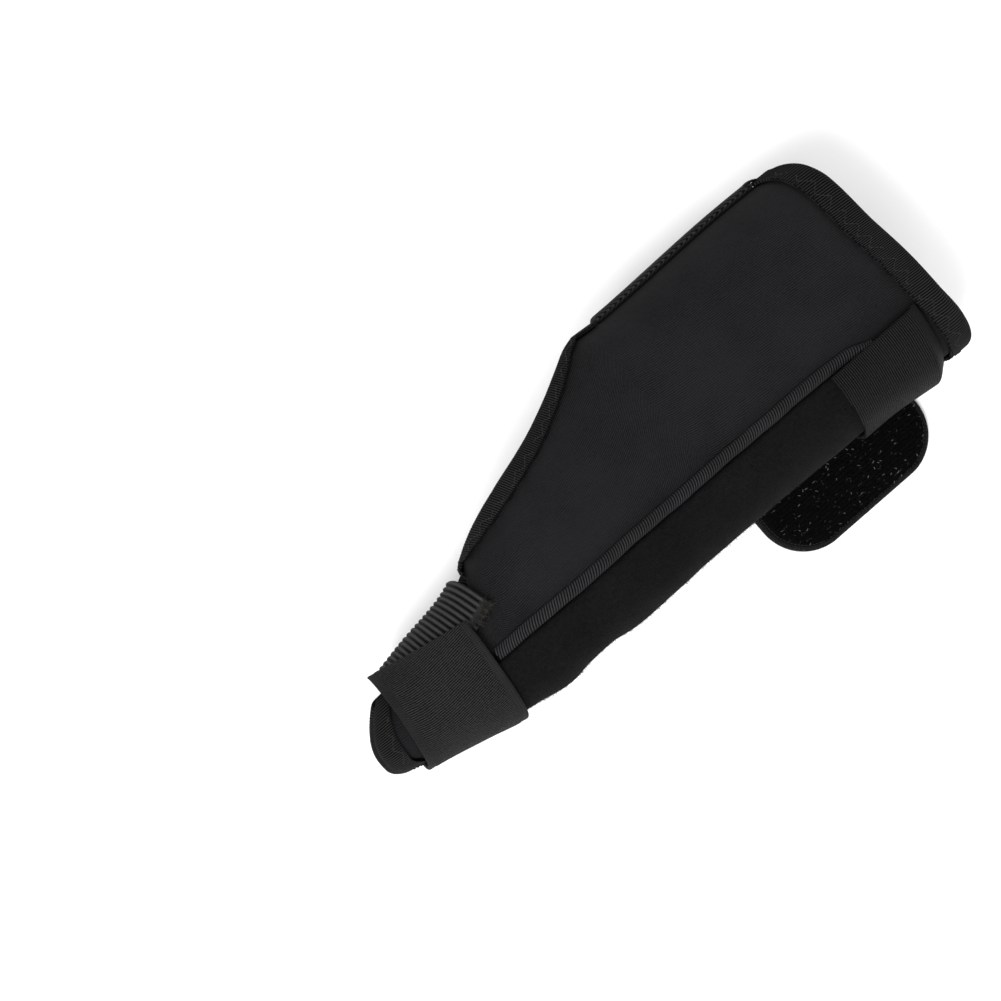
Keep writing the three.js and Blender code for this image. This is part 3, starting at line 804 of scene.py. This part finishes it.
# The overlock stitches along the elastic's sewn edge, and the loose ends that stick out of it.
SEAM_HEIGHT = 1.25
rng = np.random.default_rng(41)


def on_elastic(row, column, height):
    x, angle = elastic_place(row, column)
    return over(x, angle, ELASTIC_GAP + height)


def elastic_seam(name, column, width, count, last):
    rows = np.linspace(0.01, last, count)
    zig = column + width * (np.arange(count) % 2)
    points = on_elastic(rows, zig, np.full(count, SEAM_HEIGHT))
    ups = on_elastic(rows, zig, np.full(count, SEAM_HEIGHT + 1)) - points
    return threads(name, points[:-1], points[1:], ups[:-1], 0.16, 0.25)


seam = elastic_seam("elastic_seam", 0.02, 0.055, 54, 0.42)
finish_piece(seam, thread, "ribbed_elastic")
count = 150
rows = rng.uniform(0.0, 0.3, count) ** 1.3
starts = on_elastic(rows, rng.uniform(0.0, 0.07, count), rng.uniform(0.7, 1.4, count))
aims = rng.normal(0, 0.75, (count, 3)) + np.array([-0.35, 0.9, 0.55])
aims[:, 2] = np.abs(aims[:, 2])
ends = starts + aims * rng.uniform(0.5, 1.5, (count, 1))
ups = np.tile([0.0, 0.2, 1.0], (count, 1))
fray = threads("elastic_fray", starts, ends, ups, 0.055, 0.35)
frayed = thread_material("frayed_ends", (0.0220, 0.0210, 0.0190), 0.6)
finish_piece(fray, frayed, "ribbed_elastic")

# Stay pocket. A long patch of brushed loop cloth down the thumb side, padded round the stay,
# and pressed flat where the thumb strap crosses it. Each long side has a ribbed piping.
PIPING_WIDTH = 3.3
PIPING_HEIGHT = 2.4
PIPING_PITCH = 0.82
POCKET_EDGE_WALL = 1.6
POCKET_START = 12.0
PIPING_START = 22.0
POCKET_END = 24.0
POCKET_BACK_EDGE = 7.0
POCKET_PRESS = 6.0
POCKET_PRESSED = 2.0
POCKET_RUN = 160
POCKET_GIRTH = 48
POCKET_EDGE = 1.1
PIPING_STOP = BAND_START - 0.8
# The palm-side piping's course: along the hand, and aside as shares of half the wrist's width.
PIPING_COURSE = [
    (0.13, 0.6), (0.22, 0.525), (0.36, 0.506), (0.7, 0.506), (0.85, 0.514), (1.06, 0.524),
]
piping_aside = curve_through(
    [(along * SLEEVE_LENGTH, aside * WRIST_WIDTH / 2) for along, aside in PIPING_COURSE]
)


def palm_line(x):
    return angle_across(x, piping_aside(x))


def pocket_from(x):
    return angle_after(x, palm_line(x), -(PIPING_WIDTH / 2 + SEAM_GAP))


def pocket_to(x):
    return angle_across(x, thumb_reach(x) - POCKET_BACK_EDGE, -1)


def pocket_wall(x, share):
    crown = (POCKET_MIDDLE_WALL - POCKET_EDGE_WALL) * np.sin(math.pi * share) ** 0.6
    pressed = smooth_step(x, SLEEVE_LENGTH - POCKET_PRESS, BAND_START - POCKET_PRESSED)
    return POCKET_EDGE_WALL + crown * (1 - pressed)


def on_pocket(row, column, height):
    x = mix(POCKET_START, SLEEVE_LENGTH + POCKET_END, row)
    angle = mix(pocket_from(x), pocket_to(x), column)
    lumps = 0.10 * np.sin(x / 3.1 + 5 * column) * np.sin(x / 7.7 + 9 * column)
    lumps += 0.16 * np.sin(x / 12.0 - 4 * column)
    return over(x, angle, SEAM_GAP + pocket_wall(x, column) + lumps + height)


def pocket_sheet(row, column, outer):
    if outer:
        round_off = rounding(row, column, POCKET_RUN, POCKET_GIRTH, POCKET_EDGE)
        return on_pocket(row, column, -POCKET_EDGE * (1 - round_off))
    x = mix(POCKET_START, SLEEVE_LENGTH + POCKET_END, row)
    return over(x, mix(pocket_from(x), pocket_to(x), column), SEAM_GAP)


pocket_rows = spaced(POCKET_RUN, 0.9, POCKET_EDGE)
pocket_columns = spaced(POCKET_GIRTH, 0.8, POCKET_EDGE)
pocket = wall("pocket", pocket_rows, pocket_columns, pocket_sheet)
loop_cloth = cloth_material(
    "loop_cloth", (0.0003, 0.0003, 0.0003), (0.0088, 0.0088, 0.0090), 0.9,
    [(20, 0.5, 3.0, 0.05)],
    (0.8, 1.0), shine=0.015, bump=0.08, groove_shade=0.3,
)
finish_piece(pocket, loop_cloth, "loop_cloth", "stay_pocket")

# The nap: short bent fibres all over the loop cloth.
count = 8000
rows, columns = rng.uniform(0.03, 0.97, count), rng.uniform(0.02, 0.98, count)
starts = on_pocket(rows, columns, np.full(count, -0.05))
ups = on_pocket(rows, columns, np.full(count, 1.0)) - starts
aims = ups * rng.uniform(0.08, 0.25, (count, 1)) + rng.normal(0, 0.24, (count, 3))
nap = threads("pocket_nap", starts, starts + aims, ups, 0.045, 0.18, rings=4, sides=3)
nap_fibre = thread_material("nap_fibre", (0.0035, 0.0035, 0.0035), 0.8)
finish_piece(nap, nap_fibre, "loop_cloth")


def piping_lines(row, column):
    x = mix(PIPING_START, PIPING_STOP, row)
    return x + 0.5 * (column - 0.5) * PIPING_WIDTH


def piping_sheet(line_angle):
    def at(row, column, outer):
        x = mix(PIPING_START, PIPING_STOP, row)
        weave = 0.09 * np.sin(x / 5.3) + 0.06 * np.sin(x / 1.9)
        narrowed = mix(0.4, 1, smooth_step(x, PIPING_START, PIPING_START + 8))
        reach = (column - 0.5) * PIPING_WIDTH * narrowed + (weave if outer else 0)
        angle = angle_after(x, line_angle(x), reach)
        crown = PIPING_HEIGHT * np.sin(math.pi * (0.12 + 0.76 * column)) ** 0.8
        rib = 0.2 * np.sin(2 * math.pi * piping_lines(row, column) / PIPING_PITCH)
        sunk = 0.25 + 0.75 * smooth_step(x, PIPING_START - 0.5, PIPING_START + 4)
        return over(x, angle, SEAM_GAP + ((crown + rib) * sunk if outer else 0))

    return at


def back_line(x):
    return angle_after(x, pocket_to(x), -(PIPING_WIDTH / 2 + SEAM_GAP))


piping_knit = cloth_material(
    "piping_knit", (0.0003, 0.0003, 0.0003), (0.0310, 0.0300, 0.0320), 0.7,
    [(0, PIPING_PITCH, 0.1, 0.3), (90, 0.45, 0.3, 0.4)],
    (0.35, 0.5), shine=0.02, bump=0.08, groove_shade=0.85,
)
for side, line in (("palm", palm_line), ("back", back_line)):
    name = "piping_" + side
    sheet = piping_sheet(line)
    piping = wall(name, np.linspace(0, 1, 860), np.linspace(0, 1, 11), sheet, piping_lines)
    finish_piece(piping, piping_knit, "piping_tape", "pocket_piping_" + side)

# Pocket tab. A short length of woven tape lies over the forearm end of the pocket and closes
# it, and over the end of its piping. Its cross threads stand out as fine lines, its end is cut.
TAB_START = FOREARM_TAPE_WIDTH + SEAM_GAP
TAB_LENGTH = 32.1
TAB_SKEW = 2.8
TAB_ASIDE = 18.9
TAB_WALL = 1.2
TAB_STEP = 0.66
TAB_GIRTH = 56
TAB_EDGE = 0.5


def on_tab(row, column, height):
    x = TAB_START + row * (TAB_LENGTH - TAB_SKEW * column)
    last = angle_after(x, pocket_to(x), PIPING_WIDTH)
    climb = smooth_step(x, TAB_START - 1, POCKET_START - 1.5)
    under = mix(PIPING_HEIGHT, POCKET_MIDDLE_WALL, smooth_step(column, 0, 0.2))
    lift = SEAM_GAP + (under + SEAM_GAP * 1.5) * climb
    return over(x, mix(angle_across(x, TAB_ASIDE), last, column), lift + height)


def tab_sheet(row, column, outer):
    round_off = rounding(row, column, TAB_LENGTH, TAB_GIRTH, TAB_EDGE)
    slack = 0.12 * np.sin(row * 7 + column * 11) + 0.1 * np.sin(column * 23)
    height = cloth_height(0, TAB_WALL, round_off, outer)
    return on_tab(row, column, height + (slack * round_off if outer else 0))


tab_rows, tab_columns = spaced(TAB_LENGTH, 0.35, TAB_EDGE), spaced(TAB_GIRTH, 0.7, TAB_EDGE)
tab = wall("woven_tab", tab_rows, tab_columns, tab_sheet)
woven = cloth_material(
    "woven_tape", (0, 0, 0), (0.0180, 0.0180, 0.0182), 0.55,
    [(0, TAB_STEP, 0.15, 0.9), (90, 0.6, 0.4, 0.5)],
    (0.6, 0.8), shine=0.02, bump=0.26, groove_shade=1.0,
)
finish_piece(tab, woven, "woven_tape", "pocket_tab")

# Thumb strap. A flat knitted band with plain woven edges, sewn to the elastic by its palm end
# and wrapped over the end of the pocket, round the outside of the thumb to the back.
BAND_WALL = 1.5
BAND_SKEW = 1.6
BAND_SEAM = 6.8
BAND_LEAN = 3.2
BAND_TAIL = 11.0
BAND_LIFT = ELASTIC_WALL + ELASTIC_RIB + 2.2 * SEAM_GAP
BAND_GIRTH = 76
BAND_EDGE = 0.6
PLAIN_EDGE = 2.6
RIM_INSET = 0.5
RIM_POINTS = 130


def on_band(row, column, height):
    near = BAND_START + BAND_WIDTH * row
    first = angle_across(near, BAND_SEAM - BAND_LEAN * row)
    last = angle_across(near, BAND_TAIL, -1)
    angle = mix(first, last, column)
    x = near + BAND_SKEW * np.cos(angle)
    return over(x, angle, BAND_LIFT + height)


def band_height(row, column, outer):
    round_off = rounding(row, column, BAND_WIDTH, BAND_GIRTH, BAND_EDGE)
    height = cloth_height(0, BAND_WALL, round_off, outer)
    edge = np.minimum(row, 1 - row) * BAND_WIDTH
    plain = 0.25 * (1 - smooth_step(edge, PLAIN_EDGE - 0.5, PLAIN_EDGE + 0.2))
    sag = 0.16 * np.sin(column * 13 + row * 3) * np.sin(row * math.pi)
    return height + ((sag - plain) * round_off if outer else sag * 0.5)


def band_sheet(row, column, outer):
    return on_band(row, column, band_height(row, column, outer))


band_rows = spaced(BAND_WIDTH, 0.5, BAND_EDGE)
band_columns = spaced(BAND_GIRTH, 0.8, BAND_EDGE)
thumb_strap = wall("thumb_band", band_rows, band_columns, band_sheet)
strap_knit = cloth_material(
    "strap_knit", (0, 0, 0), (0.0285, 0.0285, 0.0296), 0.65,
    [(108, 0.6, 0.7, 0.6), (20, 0.75, 0.8, 0.9)],
    (0.7, 1.3), shine=0.02, bump=0.2, groove_shade=0.8,
)
finish_piece(thumb_strap, strap_knit, "strap_knit", "thumb_strap")
columns = np.linspace(0, 1, 200)
middle_line = on_band(np.full(200, 0.5), columns, np.full(200, BAND_WALL / 2))

# The band's plain woven edges lie on it as narrow smooth strips, with a rim along each.
plain_weave = cloth_material(
    "plain_edge", (0.0004, 0.0004, 0.0004), (0.0165, 0.0165, 0.0173), 0.65,
    [(90, 0.55, 0.2, 0.6), (0, 0.8, 0.3, 0.3)],
    (0.3, 0.3), shine=0.02, bump=0.05, groove_shade=0.2,
)
EDGE_SHARE = PLAIN_EDGE / BAND_WIDTH


def edge_strip(first):
    def at(row, column, outer):
        share = first + row * EDGE_SHARE
        lift = 0.07 if outer else -0.08
        return on_band(share, column, band_height(share, column, True) + lift)

    return at


strip_rows, strip_columns = np.linspace(0.05, 0.95, 9), np.linspace(0.005, 0.995, 100)
for name, first in (("plain_edge_near", 0.0), ("plain_edge_far", 1 - EDGE_SHARE)):
    strip = wall(name, strip_rows, strip_columns, edge_strip(first))
    finish_piece(strip, plain_weave, "strap_knit")
RIMS = [("band_edge_near", RIM_INSET), ("band_edge_far", BAND_WIDTH - RIM_INSET)]
for name, inset in RIMS:
    columns = np.linspace(0, 1, RIM_POINTS)
    share, height = inset / BAND_WIDTH, BAND_WALL * 0.86 - 0.25
    points = on_band(share, columns, height)
    ups = on_band(share, columns, BAND_WALL + 1) - points
    rim = threads(name, points[:-1], points[1:], ups[:-1], 0.2, 0.03, rings=4)
    finish_piece(rim, thread, "strap_knit")

# Wrist strap. Wide knitted strap sewn over the sleeve's little-finger edge, wrapped round that
# side and under the back. Its rounded end lies loose beyond the thumb side, hooks up.
STRAP_OVERLAP = 2.6
TAB_CORNER = 15.0
STRAP_MIDDLE = (STRAP_START + STRAP_END) / 2
LOOSE_MIDDLE = STRAP_MIDDLE - STRAP_SKEW
UNDER = 3 * math.pi / 2
WRAP_LENGTH = 68.0
WRAP_SHARE = 0.45
STRAP_EDGE = 0.8
UNDER_ACROSS = float(form_point(np.array(LOOSE_MIDDLE), np.array(UNDER))[1])


def half_width_at(from_end, half, corner):
    into = np.maximum(0, corner - from_end)
    return half - corner + np.sqrt(np.maximum(corner**2 - into**2, 0))


def strap_sheet(row, column, outer):
    across = (row - 0.5) * 2
    sides = round_edge(np.minimum(row, 1 - row) * STRAP_WIDTH, STRAP_EDGE)
    wrap = np.clip(column / WRAP_SHARE, 0, 1)
    x = STRAP_MIDDLE + across * STRAP_WIDTH / 2 - STRAP_SKEW * wrap
    start = angle_after(x, palm_edge_angle(x), -STRAP_OVERLAP)
    ends = round_edge(wrap * WRAP_LENGTH, STRAP_EDGE)
    height = cloth_height(SEAM_GAP, STRAP_WALL, np.minimum(sides, ends), outer)
    wrapped = over(x, mix(start, UNDER, wrap), height)
    turn = np.clip((column - WRAP_SHARE) / (1 - WRAP_SHARE), 0, 1) * math.pi / 2
    from_end = (TAB_END - UNDER_ACROSS) * (1 - np.sin(turn))
    half = half_width_at(from_end, STRAP_WIDTH / 2, TAB_CORNER)
    thick = STRAP_WALL / 2 * np.minimum(sides, round_edge(from_end, STRAP_EDGE))
    level = STRAP_WALL / 2 + (-thick if outer else thick)
    tail = np.stack([LOOSE_MIDDLE + across * half, TAB_END - from_end, level], -1)
    return np.where((column <= WRAP_SHARE)[..., None], wrapped, tail)


columns = np.concatenate([
    spaced(WRAP_LENGTH, 1.1, STRAP_EDGE)[:-4] * WRAP_SHARE,
    [WRAP_SHARE],
    WRAP_SHARE + (1 - WRAP_SHARE) * np.linspace(0, 1, 71)[1:],
])
strap = wall("wide_strap", spaced(STRAP_WIDTH, 1.1, STRAP_EDGE), columns, strap_sheet)
finish_piece(strap, strap_knit, "strap_knit", "wrist_strap")
shares = np.linspace(0, WRAP_SHARE, 300)
wrapped_line = strap_sheet(np.full(300, 0.5), shares, False)

# A few thick stitches tack the strap's forearm corner to the end of the forearm binding; their
# very dark thread also fills the gap between them as painted shadow.
TACK_FROM, TACK_TO = 12.6, 17.2
asides = np.linspace(-2.4, 0.9, 9)
tack_ends = []
for x, height in ((TACK_FROM, TAPE_TOP), (TACK_TO, SEAM_GAP + STRAP_WALL)):
    angle = angle_after(x, palm_edge_angle(x), asides)
    tack_ends.append(over(x, angle, height))
ups = over(x, angle, SEAM_GAP + STRAP_WALL + 1.0) - tack_ends[1]
tack = threads("corner_tack", tack_ends[0], tack_ends[1], ups, 0.34, 0.35, rings=7)
finish_piece(tack, thread_and_painted_shadow, "strap_knit")

# The row that sews the strap down fills the joint under its first edge with very dark thread: a
# seam, and painted shadow in the joint.
JOINT_INSET = 0.35
JOINT_HEIGHT = 0.25
x = np.linspace(STRAP_START - 3.4, STRAP_END - 0.3, 95)
angle = angle_after(x, palm_edge_angle(x), JOINT_INSET - STRAP_OVERLAP)
seam_line = over(x, angle, JOINT_HEIGHT)
ups = over(x, angle, JOINT_HEIGHT + 1) - seam_line
joint = threads("strap_seam", seam_line[:-2], seam_line[2:], ups[:-2], 0.42, 0.02, rings=4)
finish_piece(joint, thread_and_painted_shadow, "strap_knit")

# Hook patch. Moulded nylon hook tape sewn inside the strap's end: rows of tiny hooks on a thin
# base. Their small glints are painted: a fifth of the hooks get lighter nylon.
HOOK_BASE = 0.5
HOOK_INSET = 1.2
HOOK_LENGTH = 27.0
HOOK_PITCH = 1.15
HOOK_HEIGHT = 1.0
HOOK_STEP = 0.95
PATCH_LEVEL = STRAP_WALL + SEAM_GAP
PATCH_WIDTH = 56
PATCH_EDGE = 0.4


def patch_outline(from_end):
    return half_width_at(from_end, STRAP_WIDTH / 2 - HOOK_INSET, TAB_CORNER - HOOK_INSET)


def patch_sheet(row, column, outer):
    from_end = HOOK_LENGTH * (1 - np.sin(column * math.pi / 2))
    edge = round_edge(np.minimum(row, 1 - row) * PATCH_WIDTH, PATCH_EDGE)
    return np.stack([
        LOOSE_MIDDLE + (row - 0.5) * 2 * patch_outline(from_end),
        TAB_END - HOOK_INSET - from_end,
        PATCH_LEVEL + (HOOK_BASE * edge if outer else -0.15 + 0 * edge),
    ], -1)


patch_rows = spaced(PATCH_WIDTH, 1.2, PATCH_EDGE)
patch = wall("hook_base", patch_rows, np.linspace(0, 1, 40), patch_sheet)
nylon, tree, shader = new_material("hook_nylon", 0.65, 0.03)
grain = fibre_node(tree, 0.7).outputs["Fuzz"]
colour_between(tree, shader, grain, (0.0003, 0.0003, 0.0003), (0.0030, 0.0030, 0.0031))
tree.links.new(math_node(tree, "MULTIPLY_ADD", grain, 0.3, 0.5), shader.inputs["Roughness"])
finish_piece(patch, nylon, "hook_tape", "hook_patch")


def hooks(name, first, last):
    """Rows of small hooks, each a bent thread that rises and curls over along its row. Every
    hook has a random rank from 0 to 1, and those from first to last are made."""
    ys = np.arange(HOOK_LENGTH / HOOK_PITCH).round() * HOOK_PITCH + 0.7
    xs = np.arange(-27.5, 27.6, HOOK_STEP)
    from_end, x = (part.ravel() for part in np.meshgrid(ys, xs, indexing="ij"))
    odd = np.round(from_end / HOOK_PITCH) % 2
    x = x + rng.normal(0, 0.06, len(x)) + 0.47 * odd
    inside = np.abs(x) < patch_outline(from_end) - 0.7
    rank = np.random.default_rng(7).random(len(x))
    inside &= (rank >= first) & (rank < last)
    from_end, x, odd = from_end[inside], x[inside], odd[inside]
    count = len(x)
    path = np.array([(0, -0.1), (0.02, 0.45), (0.1, 0.8), (0.32, 1.0), (0.55, 0.9), (0.6, 0.68)])
    lean = rng.normal(0, 0.8, count) + np.where(odd > 0, 0, math.pi)
    root = np.stack([
        LOOSE_MIDDLE + x, TAB_END - HOOK_INSET - from_end, np.full(count, PATCH_LEVEL + HOOK_BASE)
    ], -1)
    heading = np.stack([np.cos(lean), np.sin(lean), np.zeros(count)], -1)
    size = HOOK_HEIGHT * rng.uniform(0.85, 1.1, count)[:, None, None]
    along = heading[:, None] * path[:, 0][:, None] * size
    rise = np.array([0, 0, 1.0]) * path[:, 1][:, None] * size
    middle = root[:, None] + along + rise
    side = np.cross(heading, [0, 0, 1.0])
    tangent = np.gradient(middle, axis=1)
    tangent /= np.linalg.norm(tangent, axis=-1, keepdims=True)
    out = np.cross(tangent, side[:, None])
    thick = np.array([0.17, 0.14, 0.13, 0.13, 0.12, 0.09])[:, None, None]
    turn = np.arange(4) * math.pi / 2 + math.pi / 4
    ring = side[:, None, None] * np.cos(turn)[:, None] + out[:, :, None] * np.sin(turn)[:, None]
    return tube_mesh(name, middle[:, :, None] + ring * thick, 1)


finish_piece(hooks("hooks", 0, 0.8), nylon, "hook_tape")
# Painted glints: the hooks ranked from 0.8 up are made in lighter nylon, faint or strong.
for shade, tone, first, last in (("painted_faint_glint", 0.02, 0.8, 0.93), ("painted_strong_glint", 0.09, 0.93, 1)):
    glint_paint = thread_material(shade + "_nylon", (tone, tone, tone), 0.35)
    finish_piece(hooks(shade + "_hooks", first, last), glint_paint, "hook_tape")

# The patch is sewn round its edge to the strap.
SEWN_LENGTH = 20
from_end = SEWN_LENGTH * (1 - np.sin(np.linspace(0, math.pi / 2, 40)))
half = patch_outline(from_end) - 0.35
left, right = (
    np.stack([LOOSE_MIDDLE + way * half, TAB_END - HOOK_INSET - from_end - 0.3], -1)
    for way in (-1, 1)
)
outline = np.concatenate([left, right[::-1]])
step = np.linalg.norm(np.diff(outline, axis=0), axis=-1)
length = np.concatenate([[0], np.cumsum(step)])
marks = np.arange(0, length[-1], 1.1)
outline = np.stack([np.interp(marks, length, outline[:, k]) for k in (0, 1)], -1)
outline = np.concatenate([outline, np.full((len(outline), 1), PATCH_LEVEL + HOOK_BASE)], -1)
gap = np.diff(outline, axis=0) * 0.1
ups = np.tile([0.0, 0.0, 1.0], (len(outline) - 1, 1))
patch_row = threads("patch_row", outline[:-1] + gap, outline[1:] - gap, ups, 0.15, 0.15)
finish_piece(patch_row, thread, "hook_tape")

# Floor, light and camera. A pale sheet under the splint, soft light from wide panels, and a
# long lens over the palm, leaning a little towards the thumb tip, as in the photograph.
floor_mesh = bpy.data.meshes.new("floor")
FLOOR_REACH = 6.0
corners = [(x * FLOOR_REACH, y * FLOOR_REACH, 0) for x, y in ((-1, -1), (1, -1), (1, 1), (-1, 1))]
floor_mesh.from_pydata(corners, [], [(0, 1, 2, 3)])
floor = add_object("floor", floor_mesh)
paper, tree, shader = new_material("pale_floor", 0.9, 0.5)
shader.inputs["Base Color"].default_value = (0.9, 0.9, 0.9, 1)
floor_mesh.materials.append(paper)

world = bpy.data.worlds.new("studio")
world.use_nodes = True
world.node_tree.nodes["Background"].inputs["Color"].default_value = (1, 1, 1, 1)
world.node_tree.nodes["Background"].inputs["Strength"].default_value = 0.75
bpy.context.scene.world = world
# Columns: name, place, size, power.
LIGHTS = [
    ("key_panel", (0.9, 0.3, 1.3), 0.8, 26),
    ("fill_panel", (-0.9, -1.0, 1.0), 1.2, 14),
    ("low_panel", (0.3, 1.3, 0.5), 0.8, 9),
]
for name, place, size, power in LIGHTS:
    light = bpy.data.lights.new(name, "AREA")
    light.size = size
    light.energy = power
    lamp = add_object(name, light)
    lamp.location = place
    lamp.rotation_euler = Vector(place).to_track_quat("Z", "Y").to_euler()

CAMERA_LEAN = math.radians(8)
CAMERA_AWAY = 1.0
VIEW_WIDTH = 0.278
SENSOR_WIDTH = 36
# How the picture's axes lie on the splint's, and the point it is centred on, in millimetres.
PICTURE_ALONG, PICTURE_ASIDE = 0.76, 0.65
AIM = np.array([126.9, -13.3, 25.0])
along = Vector((math.cos(CAMERA_LEAN), 0, -math.sin(CAMERA_LEAN)))
toward = Vector((math.sin(CAMERA_LEAN), 0, math.cos(CAMERA_LEAN)))
side = Vector((0, 1, 0))
right = (-PICTURE_ALONG * along + PICTURE_ASIDE * side).normalized()
up = (-PICTURE_ASIDE * along - PICTURE_ALONG * side).normalized()
aim = Vector((AIM + SHIFT) * 0.001)
lens = bpy.data.cameras.new("camera")
lens.sensor_width = SENSOR_WIDTH
lens.lens = SENSOR_WIDTH * CAMERA_AWAY / VIEW_WIDTH
camera = add_object("camera", lens)
turn = Matrix((right, up, toward)).transposed()
camera.matrix_world = Matrix.Translation(aim + toward * CAMERA_AWAY) @ turn.to_4x4()
bpy.context.scene.camera = camera
bpy.context.scene.view_settings.view_transform = "Standard"
